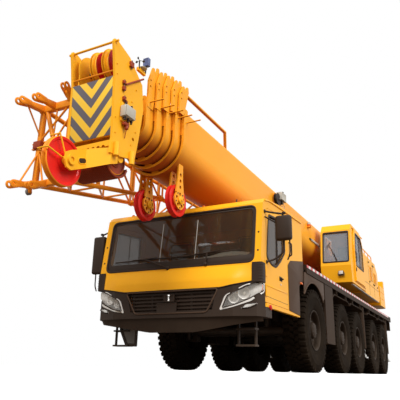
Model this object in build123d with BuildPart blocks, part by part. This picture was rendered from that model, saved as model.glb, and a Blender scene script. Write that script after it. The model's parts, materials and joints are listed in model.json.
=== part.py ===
"""All-terrain mobile crane, five axles, six-section telescopic boom, stowed lattice jib.

Millimetres.  X points forward, Y to the driver's left, Z up; the ground is Z = 0 and the
origin lies on the ground under the middle of the machine.  Each sub-part is one node.
"""
from build123d import *
import os
from math import atan2, cos, degrees, hypot, radians, sin

os.makedirs("parts", exist_ok=True)

# ---------------------------------------------------------------- driving dimensions
# carrier
AXLE_X = (2100, -200, -1850, -4050, -5700)      # axle centres, front to rear
RIGID_AXLE = 3                                  # this axle doesn't steer
TYRE_R = 746.5                                  # 16.00 R25 tyre
TYRE_WIDTH = 430
BEAD_R = 345
TRACK_HALF = 1285                               # wheel centre plane from the centreline
KINGPIN_HALF = 1185                             # steering pin from the centreline
REAR_END_X = -7700
DECK_TOP = 1890
DECK_THICK = 100
DECK_HALF = 1490
SKIRT_DROP = 160                                # deck edge beam, below the deck's top
HOOD_HALF = 1000                                # hood over the engine
GUARD_HALF, GUARD_Z = 760, 1610                 # mudguard: half length and height
SILENCER_Y, SILENCER_Z, SILENCER_R = -1230, 2060, 140
FRAME_HALF = 450
FRAME_BOTTOM = 880
FRAME_FRONT_X = 4500
ENGINE_X, ENGINE_Z, ENGINE_HALF = (1000, 2300), (1130, 1760), 330
SEAT = 0.3                                      # gap where two pieces bear on each other
RUN = 6                                         # running gap between moving pieces

# driver's cab
CAB_FRONT_X = 4800
CAB_REAR_X = 2670
CAB_HALF = 1450
CAB_WALL = 50
CAB_FLOOR = 1180
CAB_SILL = 900                                  # lower edge of the side panels
SCREEN_FOOT = (4795, 1500)                      # windscreen plane, X and Z
SCREEN_HEAD = (4660, 2470)
ROOF_FRONT_Z = 2560
ROOF_REAR_Z = 2690
DOOR_REAR_X = 3560
DOOR_FRONT_X = 4640
DOOR_THICK = 50
DOOR_HINGE_X = DOOR_FRONT_X - 16
HINGE_Y = CAB_HALF + 12
HINGE_R = 10
HINGE_Z = (1050, 1340)
BUMPER_BOTTOM = 750
BUMPER_TOP = 1260
BUMPER_FRONT_X = 4890
BUMPER_BACK_X = 4656                            # behind this the bumper runs under the cab
STEP_X, STEP_Y, STEP_Z = 4480, (960, 1260), (350, 585)

# outriggers: beams lie side by side in one box, one for each side
OUTRIGGER_X = (-2940, -6840)                    # middle of the front and rear box
BEAM_W = 240
BEAM_H = 320
BEAM_Z = 1240                                   # middle of the beams
BOX_WALL = 20
BOX_HALF = 1225
JACK_R = 105
JACK_ROD_R = 70
PAD_R = 190

# superstructure
SLEW_X = -2800
RING_R = 850
RING_TOP = 1995
PLATE_IN = 500                                  # inner face of the turntable side plates
PLATE_T = 40
PIVOT_X = -5400
PIVOT_Z = 3200
UPPER_HALF = 1440
COUNTERWEIGHT_Z = (2150, 3050)
TOW_X, TOW_Z, TOW_BORE_R = -7740, 1210, 22      # rear towing pin
JIB_PIN = (6620, 2900, 25)                      # bore for the jib's pin: X, Z, radius
LIFT_FOOT = (-3800, 2230)                       # lift cylinder's lower pin, X and Z
LIFT_EYE = (-800, 2680)                         # its rod eye
LIFT_BARREL_R = 150
LIFT_ROD_R = 95
LIFT_BARREL_LEN = 2700

# boom
BOOM_TOP = 3890
BOOM_HALF = 470
BOOM_CENTRE_Z = 3340                            # centre of the round lower half
BOOM_WALL = 9
BOOM_STEP = 42                                  # each section is this much smaller all round
COLLAR_GROW = 30
COLLAR_LEN = 105
# section: name, rear end X, collar front X, tower's bolts X, tower top Z
SECTIONS = (
    ("boom_base", -5800, 5500, 5615, 4280),
    ("boom_section_2", -5350, 5700, 5768, 4325),
    ("boom_section_3", -5200, 5890, 5930, 4330),
    ("boom_section_4", -5050, 6080, 6070, 4325),
    ("boom_section_5", -4900, 6300, 6232, 4320),
    ("boom_head", -4750, 6640, 0, 0),
)
# tower plate: X from its bolts, and share of the height from its foot to its top
TOWER_OUTLINE = (
    (-85, 0), (48, 0), (48, 0.58), (-45, 0.92), (-85, 0.93), (-118, 0.78), (-162, 1), (-205, 1),
    (-222, 0.86), (-128, 0.24),
)
TOWER_FOOT = 150                                # how far its foot laps the section's side
TOWER_BOLTS = (4105, 4005)                      # its two bolts on the base section, Z
TOWER_BOLT_DROP = 18                            # and how much lower on each further one
TOWER_T = 28
BOLT_R = 15
SIDE_BAR = (3670, 240, 11)                      # rods on the left of the collars: Z, length, radius
HEAD_IN = 335                                   # inner face of the head's side plates
HEAD_T = 35
TOP_SHEAVE = (6850, 3900, 270)                  # X, Z, radius
LOW_SHEAVE = (6815, 2560, 205)
NOSE_SHEAVE = (7430, 2350, 310)
NOSE_Y = -60                                    # middle of the nose sheave
GUARD_R, GUARD_ANGLES = NOSE_SHEAVE[2] + 25, (10, 62)
ROLLER = (5300, 2450, 250)                      # hanging rope rollers: X, Z, radius
ROLLER_Y = 280
RAIL_Y, RAIL_Z, RAIL_R = 455, 4170, 30          # guard rail along the boom's top
RAIL_REAR_X = 3920
FRONT_PLATE_X = (7045, 7094)                    # striped plate, at its foot and its head
HORN_TIP = (7140, 4104)
LOW_COUNT, LOW_PITCH = 7, 80                    # the lower sheaves and their spacing
LOW_SHAFT = 300                                 # half length of their shaft
TOP_SHAFT = 290
COMB_X = (7026, 7062)                           # comb bar in front of the lower sheaves


# ---------------------------------------------------------------- small building steps
def save(block, name):
    block.part.label = name
    export_step(block.part, f"parts/{name}.step")


def box(x, y, z, mode=Mode.ADD):
    """Box from (low, high) pairs."""
    with Locations(((x[0] + x[1]) / 2, (y[0] + y[1]) / 2, (z[0] + z[1]) / 2)):
        Box(x[1] - x[0], y[1] - y[0], z[1] - z[0], mode=mode)


def plate_xz(points, y, mode=Mode.ADD, round_to=0):
    """Plate with an XZ outline, from y[0] to y[1]."""
    with BuildSketch(Plane.XZ.offset(-y[0])) as face:
        with BuildLine():
            Polyline(*points, close=True)
        make_face()
        if round_to:
            fillet(face.vertices(), round_to)
    extrude(face.sketch, amount=-(y[1] - y[0]), mode=mode)


def plate_xy(points, z, mode=Mode.ADD, round_to=0):
    """Plate with an XY outline, from z[0] to z[1]."""
    with BuildSketch(Plane.XY.offset(z[0])) as face:
        with BuildLine():
            Polyline(*points, close=True)
        make_face()
        if round_to:
            fillet(face.vertices(), round_to)
    extrude(face.sketch, amount=z[1] - z[0], mode=mode)


def plate_yz(points, x, mode=Mode.ADD, round_to=0):
    """Plate with a YZ outline, from x[0] to x[1]."""
    with BuildSketch(Plane.YZ.offset(x[0])) as face:
        with BuildLine():
            Polyline(*points, close=True)
        make_face()
        if round_to:
            fillet(face.vertices(), round_to)
    extrude(face.sketch, amount=x[1] - x[0], mode=mode)


def rod(start, end, radius, mode=Mode.ADD):
    """Round bar between two points."""
    a, b = Vector(*start), Vector(*end)
    with BuildSketch(Plane(origin=a, z_dir=b - a)) as face:
        Circle(radius)
    extrude(face.sketch, amount=(b - a).length, mode=mode)


def beam(start, end, across, deep, mode=Mode.ADD):
    """Rectangular bar between two points; across lies level."""
    a, b = Vector(*start), Vector(*end)
    way = (b - a).normalized()
    level = Vector(0, 0, 1).cross(way)
    level = level.normalized() if level.length > 1e-6 else Vector(0, 1, 0)
    with BuildSketch(Plane(origin=a, x_dir=level, z_dir=way)) as face:
        Rectangle(across, deep)
    extrude(face.sketch, amount=(b - a).length, mode=mode)


def disc_y(x, z, radius, y, mode=Mode.ADD):
    """Cylinder along Y, from y[0] to y[1]."""
    rod((x, y[0], z), (x, y[1], z), radius, mode)


def spun_y(x, z, y, outline, side=1, mode=Mode.ADD):
    """Solid of revolution about a line along Y; outline is (radius, offset from y)."""
    with BuildSketch(Plane(origin=(x, y, z), x_dir=(1, 0, 0), z_dir=(0, 0, 1))) as face:
        with BuildLine():
            Polyline(*[(r, side * along) for r, along in outline], close=True)
        make_face()
    revolve(face.sketch, axis=Axis((x, y, z), (0, 1, 0)), mode=mode)


def sides():
    return (("left", 1), ("right", -1))


# ---------------------------------------------------------------- wheels and knuckles
half = TYRE_WIDTH / 2
tyre_outline = [
    (TYRE_R, 0.70 * half),
    (TYRE_R - 26, 0.93 * half),
    (TYRE_R - 110, half),
    (TYRE_R - 280, half),
    (BEAD_R, 0.74 * half),
]
tyre_outline = tyre_outline + [(r, -along) for r, along in reversed(tyre_outline)]
hub_back = 5                                    # wheel's bolting face, outside its middle
rim_outline = [
    (0, hub_back), (165, hub_back), (165, 32), (240, 38), (326, 10), (326, -172), (BEAD_R - 1, -172),
    (BEAD_R - 1, 172), (362, 175), (362, 185), (334, 185), (322, 66), (238, 66), (165, 84),
    (140, 165), (60, 178), (0, 178),
]
for number, axle_x in enumerate(AXLE_X, start=1):
    for side_name, side in sides():
        with BuildPart() as wheel:
            spun_y(axle_x, TYRE_R, side * TRACK_HALF, tyre_outline, side)
            spun_y(axle_x, TYRE_R, side * TRACK_HALF, rim_outline, side)
        save(wheel, f"wheel_{number}_{side_name}")

FLANGE_FACE = TRACK_HALF + hub_back - SEAT
KNUCKLE_HALF_Z = 150
for number, axle_x in enumerate(AXLE_X, start=1):
    if number == RIGID_AXLE:
        continue
    for side_name, side in sides():
        pin_y = side * KINGPIN_HALF
        with BuildPart() as knuckle:
            with Locations((axle_x, pin_y, TYRE_R)):
                Cylinder(75, 2 * KNUCKLE_HALF_Z)
            disc_y(axle_x, TYRE_R, 95, sorted((pin_y, side * FLANGE_FACE)))
            disc_y(axle_x, TYRE_R, 150, sorted((side * (FLANGE_FACE - 30), side * FLANGE_FACE)))
            # steering arm, under the axle's tube
            box((axle_x - 260, axle_x), (pin_y - 30, pin_y + 30), (TYRE_R - 140, TYRE_R - 105))
        save(knuckle, f"knuckle_{number}_{side_name}")

# axle beams with their kingpin yokes and struts, the propeller shaft and the engine
with BuildPart() as drivetrain:
    for number, axle_x in enumerate(AXLE_X, start=1):
        steered = number != RIGID_AXLE
        reach = KINGPIN_HALF - 120 if steered else FLANGE_FACE
        disc_y(axle_x, TYRE_R, 95, (-reach, reach))
        with Locations((axle_x, 0, TYRE_R)):
            Sphere(120)
        for _, side in sides():
            if steered:
                for level in (1, -1):
                    near = TYRE_R + level * (KNUCKLE_HALF_Z + SEAT)
                    far = TYRE_R + level * (KNUCKLE_HALF_Z + 45)
                    box((axle_x - 65, axle_x + 65), sorted((side * (reach - 120), side * (KINGPIN_HALF + 60))),
                        sorted((near, far)))
                box((axle_x - 65, axle_x + 65), sorted((side * (reach - 120), side * (reach - 20))),
                    (TYRE_R - KNUCKLE_HALF_Z - 45, TYRE_R + KNUCKLE_HALF_Z + 45))
            else:
                disc_y(axle_x, TYRE_R, 150, sorted((side * (FLANGE_FACE - 30), side * FLANGE_FACE)))
            strut_y = side * (FRAME_HALF + 95)
            rod((axle_x, strut_y, TYRE_R), (axle_x, strut_y, 1480), 55)
            box((axle_x - 90, axle_x + 90), sorted((side * (FRAME_HALF + SEAT), side * (FRAME_HALF + 160))),
                (1380, 1500))
    # engine, one plain block on its feet
    box(ENGINE_X, (-ENGINE_HALF, ENGINE_HALF), ENGINE_Z)
    for x in (ENGINE_X[0] + 100, ENGINE_X[1] - 220):
        box((x, x + 120), (-ENGINE_HALF, ENGINE_HALF), (ENGINE_Z[0] - 50 + SEAT, ENGINE_Z[0] + 1))
save(drivetrain, "drivetrain")

# ---------------------------------------------------------------- chassis
with BuildPart() as chassis_frame:
    box((-7150, 2560), (-FRAME_HALF, FRAME_HALF), (FRAME_BOTTOM + 120, DECK_TOP - DECK_THICK - SEAT))
    box((2560, FRAME_FRONT_X), (-FRAME_HALF + 20, FRAME_HALF - 20), (FRAME_BOTTOM, 1150))
    plate_xz([(1900, FRAME_BOTTOM + 120), (2560, FRAME_BOTTOM), (2560, 1150), (1900, 1400)],
             (-FRAME_HALF + 20, FRAME_HALF - 20))
    # engine bay
    box((ENGINE_X[0] - 60, ENGINE_X[1] + 60), (-ENGINE_HALF - 60, ENGINE_HALF + 60),
        (ENGINE_Z[0] - 50, DECK_TOP), mode=Mode.SUBTRACT)
    # rubber blocks under the cab's floor
    for x in (3150, 4350):
        for y in (-300, 300):
            box((x - 60, x + 60), (y - 60, y + 60), (1149, CAB_FLOOR - SEAT))
    # slewing ring on its pedestal
    with Locations((SLEW_X, 0, (1700 + RING_TOP - SEAT) / 2)):
        Cylinder(RING_R, RING_TOP - SEAT - 1700)
    # outrigger boxes with a tunnel for each beam
    for middle in OUTRIGGER_X:
        tunnel_w, tunnel_h = BEAM_W + 2 * RUN, BEAM_H + 2 * RUN
        outer_w = 2 * tunnel_w + 3 * BOX_WALL
        box((middle - outer_w / 2, middle + outer_w / 2), (-BOX_HALF, BOX_HALF),
            (BEAM_Z - tunnel_h / 2 - BOX_WALL, BEAM_Z + tunnel_h / 2 + BOX_WALL))
        for way in (1, -1):
            x = middle + way * (tunnel_w + BOX_WALL) / 2
            box((x - tunnel_w / 2, x + tunnel_w / 2), (-BOX_HALF - 1, BOX_HALF + 1),
                (BEAM_Z - tunnel_h / 2, BEAM_Z + tunnel_h / 2), mode=Mode.SUBTRACT)
            for pad_y in (-BOX_HALF + 60, BOX_HALF - 60):
                box((x - 80, x + 80), (pad_y - 50, pad_y + 50),
                    (BEAM_Z - tunnel_h / 2 - 1, BEAM_Z - BEAM_H / 2 - SEAT))
    # rear cross member and end box
    box((REAR_END_X + 60, -7149), (-FRAME_HALF, FRAME_HALF), (1050, DECK_TOP - DECK_THICK - SEAT))
    # rear towing lug with its pin hole
    box((TOW_X - 50, REAR_END_X + 61), (-60, 60), (TOW_Z - 60, TOW_Z + 60))
    with Locations((TOW_X, 0, TOW_Z)):
        Cylinder(TOW_BORE_R, 200, mode=Mode.SUBTRACT)
save(chassis_frame, "chassis_frame")

# outrigger beams with the jack barrels, and the jack rods with their foot pads
JACK_Y = 1370
JACK_TOP = 1700
JACK_BOTTOM = 640
for end_name, middle in zip(("front", "rear"), OUTRIGGER_X):
    for side_name, side in sides():
        x = middle + side * (BEAM_W + 2 * RUN + BOX_WALL) / 2
        with BuildPart() as outrigger:
            box((x - BEAM_W / 2, x + BEAM_W / 2), sorted((-side * (BOX_HALF - 40), side * (JACK_Y - 60))),
                (BEAM_Z - BEAM_H / 2, BEAM_Z + BEAM_H / 2))
            rod((x, side * JACK_Y, JACK_BOTTOM), (x, side * JACK_Y, JACK_TOP), JACK_R)
            rod((x, side * JACK_Y, JACK_BOTTOM - 5), (x, side * JACK_Y, JACK_TOP - 60), JACK_ROD_R + SEAT,
                mode=Mode.SUBTRACT)
        save(outrigger, f"outrigger_beam_{end_name}_{side_name}")
        with BuildPart() as jack:
            rod((x, side * JACK_Y, 470), (x, side * JACK_Y, JACK_TOP - 90), JACK_ROD_R)
            rod((x, side * JACK_Y, 420), (x, side * JACK_Y, 480), 95)
            box((x - 130, x + 130), sorted((side * (JACK_Y - 115), side * (JACK_Y + 115))), (395, 425))
        save(jack, f"outrigger_jack_{end_name}_{side_name}")

with BuildPart() as deck:
    low = DECK_TOP - DECK_THICK
    box((REAR_END_X, 2560), (-DECK_HALF, DECK_HALF), (low, DECK_TOP))
    for _, side in sides():
        box((REAR_END_X, 2560), sorted((side * (DECK_HALF - 30), side * DECK_HALF)),
            (DECK_TOP - SKIRT_DROP, low + 1))
        # locker between the first two axles
        box((625, 1280), sorted((side * 940, side * 1480)), (560, low + 1))
        # mudguard over each wheel, hung from the deck
        for axle_x in AXLE_X[1:]:
            plate_xz([(axle_x - GUARD_HALF, GUARD_Z - 60), (axle_x - GUARD_HALF + 90, GUARD_Z),
                      (axle_x + GUARD_HALF - 90, GUARD_Z), (axle_x + GUARD_HALF, GUARD_Z - 60),
                      (axle_x + GUARD_HALF, GUARD_Z - 45), (axle_x + GUARD_HALF - 90, GUARD_Z + 15),
                      (axle_x - GUARD_HALF + 90, GUARD_Z + 15), (axle_x - GUARD_HALF, GUARD_Z - 45)],
                     sorted((side * 1010, side * 1480)))
            for x in (axle_x - 450, axle_x + 450):
                box((x - 15, x + 15), sorted((side * 1010, side * (DECK_HALF - 1))), (GUARD_Z + 1, low + 1))
    with Locations((SLEW_X, 0, DECK_TOP)):
        Cylinder(RING_R + RUN, 3 * DECK_THICK, mode=Mode.SUBTRACT)
    # end panel that carries the rear lamps
    box((REAR_END_X, REAR_END_X + 40), (-DECK_HALF + 40, DECK_HALF - 40), (1440, low + 1))
    # exhaust silencer on the deck, behind the cab's right side
    rod((1830, SILENCER_Y, SILENCER_Z), (2500, SILENCER_Y, SILENCER_Z), SILENCER_R)
    rod((2380, SILENCER_Y, SILENCER_Z), (2380, SILENCER_Y, 2560), 55)
    for x in (1950, 2300):
        box((x - 40, x + 40), (SILENCER_Y - 120, SILENCER_Y + 120), (DECK_TOP - 1, SILENCER_Z))
    # hood over the engine, behind the cab
    plate_xz([(1780, DECK_TOP - 1), (2540, DECK_TOP - 1), (2540, 2420), (2500, 2450), (1860, 2450),
              (1780, 2380)], (-HOOD_HALF, HOOD_HALF))
    for _, side in sides():
        for z in range(2020, 2360, 60):
            box((1900, 2420), sorted((side * (HOOD_HALF - 14), side * (HOOD_HALF + 1))), (z, z + 30),
                mode=Mode.SUBTRACT)
save(deck, "deck_and_lockers")

# ---------------------------------------------------------------- driver's cab
screen_way = Vector(SCREEN_HEAD[0] - SCREEN_FOOT[0], 0, SCREEN_HEAD[1] - SCREEN_FOOT[1])
screen_up = screen_way.normalized()
screen_out = Vector(0, 1, 0).cross(screen_up)   # points forward
SCREEN_PLANE = Plane(
    origin=((SCREEN_FOOT[0] + SCREEN_HEAD[0]) / 2, 0, (SCREEN_FOOT[1] + SCREEN_HEAD[1]) / 2),
    x_dir=(0, 1, 0), z_dir=screen_out,
)
SCREEN_W, SCREEN_H, SCREEN_ROUND = 2660, 900, 90
cab_outline = [
    (CAB_FRONT_X, BUMPER_TOP), SCREEN_FOOT, SCREEN_HEAD, (4560, ROOF_FRONT_Z),
    (3900, 2640), (CAB_REAR_X, ROOF_REAR_Z), (CAB_REAR_X, 1560), (2960, 1430), (2960, CAB_SILL),
    (BUMPER_BACK_X - RUN, CAB_SILL), (BUMPER_BACK_X - RUN, BUMPER_TOP),
]
door_outline = [
    (DOOR_REAR_X, 960), (DOOR_FRONT_X, 960), (DOOR_FRONT_X, 1500), (4510, 2420), (DOOR_REAR_X, 2500),
]
with BuildPart() as cab_shell:
    plate_xz(cab_outline, (-CAB_HALF, CAB_HALF))
    fillet(cab_shell.edges().filter_by(Axis.Z).group_by(Axis.X)[-1], 120)
    inner = [
        (CAB_FRONT_X - CAB_WALL, CAB_FLOOR + CAB_WALL), (SCREEN_FOOT[0] - CAB_WALL, 1500),
        (SCREEN_HEAD[0] - CAB_WALL, 2450), (4520, ROOF_FRONT_Z - CAB_WALL - 10), (3900, 2640 - CAB_WALL),
        (CAB_REAR_X + CAB_WALL, ROOF_REAR_Z - CAB_WALL), (CAB_REAR_X + CAB_WALL, 1590),
        (2960 + CAB_WALL, 1450), (2960 + CAB_WALL, CAB_FLOOR + CAB_WALL),
    ]
    plate_xz(inner, (-CAB_HALF + CAB_WALL, CAB_HALF - CAB_WALL), mode=Mode.SUBTRACT)
    box((2900, 4760), (-CAB_HALF + CAB_WALL, CAB_HALF - CAB_WALL), (CAB_SILL - 10, CAB_FLOOR),
        mode=Mode.SUBTRACT)
    for _, side in sides():
        plate_xz(door_outline, sorted((side * (CAB_HALF - CAB_WALL - 5), side * (CAB_HALF + 5))),
                 mode=Mode.SUBTRACT)
        # hinge knuckles above the door's hinge barrels
        for z in HINGE_Z:
            low, high = z + 90 + SEAT, z + 150
            rod((DOOR_HINGE_X, side * HINGE_Y, low), (DOOR_HINGE_X, side * HINGE_Y, high), HINGE_R)
            box((DOOR_HINGE_X, BUMPER_BACK_X - RUN), sorted((side * (HINGE_Y - 6), side * (HINGE_Y + 4))),
                (low, high))
            box((DOOR_FRONT_X + 4, BUMPER_BACK_X - RUN), sorted((side * (CAB_HALF - 1), side * (HINGE_Y + 4))),
                (low, high))
    with BuildSketch(SCREEN_PLANE) as opening:
        RectangleRounded(SCREEN_W, SCREEN_H, SCREEN_ROUND)
    extrude(opening.sketch, amount=90, both=True, mode=Mode.SUBTRACT)
    # rear window
    box((CAB_REAR_X - 5, CAB_REAR_X + CAB_WALL + 5), (-700, 700), (1950, 2450), mode=Mode.SUBTRACT)
save(cab_shell, "cab_shell")

GLASS = 10
with BuildPart() as cab_glazing:
    with BuildSketch(SCREEN_PLANE.offset(-25)) as pane:
        RectangleRounded(SCREEN_W - 0.6, SCREEN_H - 0.6, SCREEN_ROUND)
    extrude(pane.sketch, amount=GLASS)
    box((CAB_REAR_X + 20, CAB_REAR_X + 30), (-699.7, 699.7), (1950.3, 2449.7))
save(cab_glazing, "cab_glazing")

window_outline = [
    (3680, 1880), (3900, 1700), (4120, 1560), (4320, 1560), (4540, 1640), (4430, 2330), (3680, 2400),
]
for side_name, side in sides():
    gap = RUN
    panel = [
        (DOOR_REAR_X + gap, 960 + gap), (DOOR_FRONT_X - gap, 960 + gap), (DOOR_FRONT_X - gap, 1500),
        (4510 - gap, 2420 - gap), (DOOR_REAR_X + gap, 2500 - gap),
    ]
    inside, outside = side * (CAB_HALF - DOOR_THICK), side * CAB_HALF
    with BuildPart() as cab_door:
        plate_xz(panel, sorted((inside, outside)))
        plate_xz(window_outline, sorted((inside - side, outside + side)), mode=Mode.SUBTRACT)
        # hinge barrels on the front edge
        for z in HINGE_Z:
            rod((DOOR_HINGE_X, side * HINGE_Y, z), (DOOR_HINGE_X, side * HINGE_Y, z + 90), HINGE_R)
            box((DOOR_HINGE_X - 55, DOOR_HINGE_X), sorted((outside - side, side * (HINGE_Y + 4))), (z, z + 90))
    save(cab_door, f"cab_door_{side_name}")
    with BuildPart() as door_glass:
        plate_xz(window_outline, sorted((side * (CAB_HALF - 30), side * (CAB_HALF - 30 + 8))))
    save(door_glass, f"door_glass_{side_name}")
    with BuildPart() as mirror:
        low = 1870 if side > 0 else 1580
        arm_x, arm_y = 4485, side * 1740
        box((4470, 4580), sorted((side * 1600, side * 1850)), (low, 2260))
        for z in (2300, 1500):
            rod((arm_x, side * (CAB_HALF + SEAT), z), (arm_x, arm_y, z), 14)
            with Locations((arm_x, arm_y, z)):
                Sphere(14)
        rod((arm_x, arm_y, 1500), (arm_x, arm_y, 2300), 14)
    save(mirror, f"mirror_{side_name}")

with BuildPart() as cab_seats:
    for y in (-720, 720):
        box((3350, 3900), (y - 260, y + 260), (1550, 1680))
        box((3250, 3390), (y - 250, y + 250), (1600, 2330))
        box((3450, 3800), (y - 180, y + 180), (CAB_FLOOR + CAB_WALL + SEAT, 1560))
save(cab_seats, "cab_seats")

with BuildPart() as cab_dash:
    box((4350, 4640), (-1350, 1350), (CAB_FLOOR + CAB_WALL + SEAT, 1480))
    rod((4200, 720, 1640), (4420, 720, 1400), 30)
    with BuildSketch(Plane(origin=(4190, 720, 1650), z_dir=(-220, 0, 240))) as wheel_ring:
        Circle(230)
        Circle(205, mode=Mode.SUBTRACT)
        Rectangle(440, 40)
    extrude(wheel_ring.sketch, amount=24, both=True)
save(cab_dash, "cab_dash")

bumper_plan = [
    (4400, -1460), (4650, -1460), (4800, -1380), (BUMPER_FRONT_X, -1050),
    (BUMPER_FRONT_X, 1050), (4800, 1380), (4650, 1460), (4400, 1460),
]
bumper_inner = [
    (4350, -1400), (4630, -1400), (4740, -1340), (BUMPER_FRONT_X - 70, -1020),
    (BUMPER_FRONT_X - 70, 1020), (4740, 1340), (4630, 1400), (4350, 1400),
]
lamp_outline = [(880, 870), (960, 1040), (1240, 1180), (1445, 1225), (1445, 1110), (1300, 1000), (1080, 910)]
with BuildPart() as bumper:
    plate_xy(bumper_plan, (BUMPER_BOTTOM, CAB_SILL - RUN))
    plate_xy([(BUMPER_BACK_X, -1458)] + bumper_plan[2:6] + [(BUMPER_BACK_X, 1458)],
             (CAB_SILL - RUN - 1, BUMPER_TOP - SEAT))
    plate_xy(bumper_inner, (BUMPER_BOTTOM + 60, BUMPER_TOP - 60), mode=Mode.SUBTRACT)
    plate_yz([(-720, 850), (720, 850), (800, 1200), (-800, 1200)], (4600, 4950), mode=Mode.SUBTRACT)
    for z in range(880, 1200, 55):
        box((BUMPER_FRONT_X - 60, BUMPER_FRONT_X - 40), (-820, 820), (z, z + 26))
    for y in (-700, -350, 0, 350, 700):
        box((BUMPER_FRONT_X - 75, BUMPER_FRONT_X - 55), (y - 15, y + 15), (830, 1215))
    for _, side in sides():
        plate_yz([(side * y, z) for y, z in lamp_outline], (BUMPER_BACK_X + 4, 4950), mode=Mode.SUBTRACT)
    # framed step hung under each end of the bumper
    for _, side in sides():
        for y in (STEP_Y[0], STEP_Y[1] - 30):
            box((STEP_X, STEP_X + 30), sorted((side * y, side * (y + 30))), (STEP_Z[0], BUMPER_BOTTOM + 1))
        for z in (STEP_Z[0], STEP_Z[1]):
            box((STEP_X - 60, STEP_X + 90), sorted((side * STEP_Y[0], side * STEP_Y[1])), (z, z + 25))
save(bumper, "bumper_and_grille")

with BuildPart() as headlamps:
    plate_xy(bumper_plan, (BUMPER_BOTTOM, BUMPER_TOP))
    plate_xy(bumper_inner, (BUMPER_BOTTOM - 1, BUMPER_TOP + 1), mode=Mode.SUBTRACT)
    with BuildSketch(Plane.YZ.offset(BUMPER_BACK_X + 5)) as lens:
        for _, side in sides():
            with BuildLine():
                Polyline(*[(side * y, z) for y, z in lamp_outline], close=True)
            make_face()
        offset(amount=-SEAT)
    extrude(lens.sketch, amount=BUMPER_FRONT_X - BUMPER_BACK_X, mode=Mode.INTERSECT)
save(headlamps, "headlamps")

# ---------------------------------------------------------------- superstructure
lift_run = (LIFT_EYE[0] - LIFT_FOOT[0], LIFT_EYE[1] - LIFT_FOOT[1])
LIFT_LEN = hypot(*lift_run)
LIFT_DIR = (lift_run[0] / LIFT_LEN, 0, lift_run[1] / LIFT_LEN)


def along_lift(distance):
    return (LIFT_FOOT[0] + LIFT_DIR[0] * distance, 0, LIFT_FOOT[1] + LIFT_DIR[2] * distance)


plate_outline = [
    (-1950, 2055), (-2050, 2300), (-3000, 2500), (-4300, 2620), (-5050, 3380), (-5250, 3470),
    (-5550, 3470), (-5750, 3350), (-6000, 2950), (-6950, 2900), (-6950, 2055),
]
with BuildPart() as turntable:
    with Locations((SLEW_X, 0, RING_TOP + 30)):
        Cylinder(RING_R + 40, 60)
    box((-6950, -1950), (-PLATE_IN - PLATE_T, PLATE_IN + PLATE_T), (RING_TOP + 5, 2060))
    for _, side in sides():
        plate_xz(plate_outline, sorted((side * PLATE_IN, side * (PLATE_IN + PLATE_T))))
        disc_y(PIVOT_X, PIVOT_Z, 150, sorted((side * PLATE_IN, side * (PLATE_IN + PLATE_T + 40))))
        # lift cylinder's foot lugs
        plate_xz([(LIFT_FOOT[0] - 180, 2055), (LIFT_FOOT[0] + 180, 2055), (LIFT_FOOT[0] + 90, 2330),
                  (LIFT_FOOT[0] - 90, 2330)], sorted((side * (110 + SEAT), side * 170)))
save(turntable, "turntable_frame")

with BuildPart() as lift_barrel:
    rod(along_lift(0), along_lift(LIFT_BARREL_LEN), LIFT_BARREL_R)
    disc_y(LIFT_FOOT[0], LIFT_FOOT[1], 130, (-110, 110))
    box((LIFT_FOOT[0] - 160, LIFT_FOOT[0] + 160), (110, 200), (2060, 2420), mode=Mode.SUBTRACT)
    box((LIFT_FOOT[0] - 160, LIFT_FOOT[0] + 160), (-200, -110), (2060, 2420), mode=Mode.SUBTRACT)
    rod(along_lift(180), along_lift(LIFT_BARREL_LEN + 1), LIFT_ROD_R + SEAT, mode=Mode.SUBTRACT)
save(lift_barrel, "lift_barrel")

EYE_HALF = 100
with BuildPart() as lift_rod:
    rod(along_lift(220), along_lift(LIFT_LEN - 40), LIFT_ROD_R)
    disc_y(LIFT_EYE[0], LIFT_EYE[1], 125, (-EYE_HALF, EYE_HALF))
save(lift_rod, "lift_rod")

with BuildPart() as counterweight:
    plate_xy([(-7300, -UPPER_HALF), (-6950 - SEAT, -UPPER_HALF), (-6950 - SEAT, UPPER_HALF), (-7300, UPPER_HALF)],
             COUNTERWEIGHT_Z)
    for _, side in sides():
        box((-6960, -6200), sorted((side * (PLATE_IN + PLATE_T + RUN), side * UPPER_HALF)),
            (COUNTERWEIGHT_Z[0], 2800))
    fillet(counterweight.edges().filter_by(Axis.Z).group_by(Axis.X)[0], 180)
    # joints between the stacked slabs, and the lifting lugs
    for z in (2380, 2600, 2820):
        with BuildSketch(Plane.XY.offset(z)) as joint:
            Rectangle(20000, 20000)
            with Locations(((-7300 - 6200) / 2, 0)):
                RectangleRounded(1100 - 24, 2 * UPPER_HALF - 24, 168, mode=Mode.SUBTRACT)
        extrude(joint.sketch, amount=12, mode=Mode.SUBTRACT)
    for y in (-900, 900):
        plate_xz([(-7200, COUNTERWEIGHT_Z[1] - 1), (-7050, COUNTERWEIGHT_Z[1] - 1),
                  (-7085, COUNTERWEIGHT_Z[1] + 100), (-7165, COUNTERWEIGHT_Z[1] + 100)], (y - 20, y + 20))
        disc_y(-7125, COUNTERWEIGHT_Z[1] + 55, 25, (y - 21, y + 21), mode=Mode.SUBTRACT)
save(counterweight, "counterweight")

with BuildPart() as winches:
    for x, radius in ((-6180, 215), (-6680, 190)):
        drum_z = 2480
        disc_y(x, drum_z, radius, (-400, 400))
        for _, side in sides():
            disc_y(x, drum_z, radius + 45, sorted((side * 360, side * 400)))
            disc_y(x, drum_z, 90, sorted((side * 400, side * (PLATE_IN - SEAT))))
save(winches, "winches")

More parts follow.
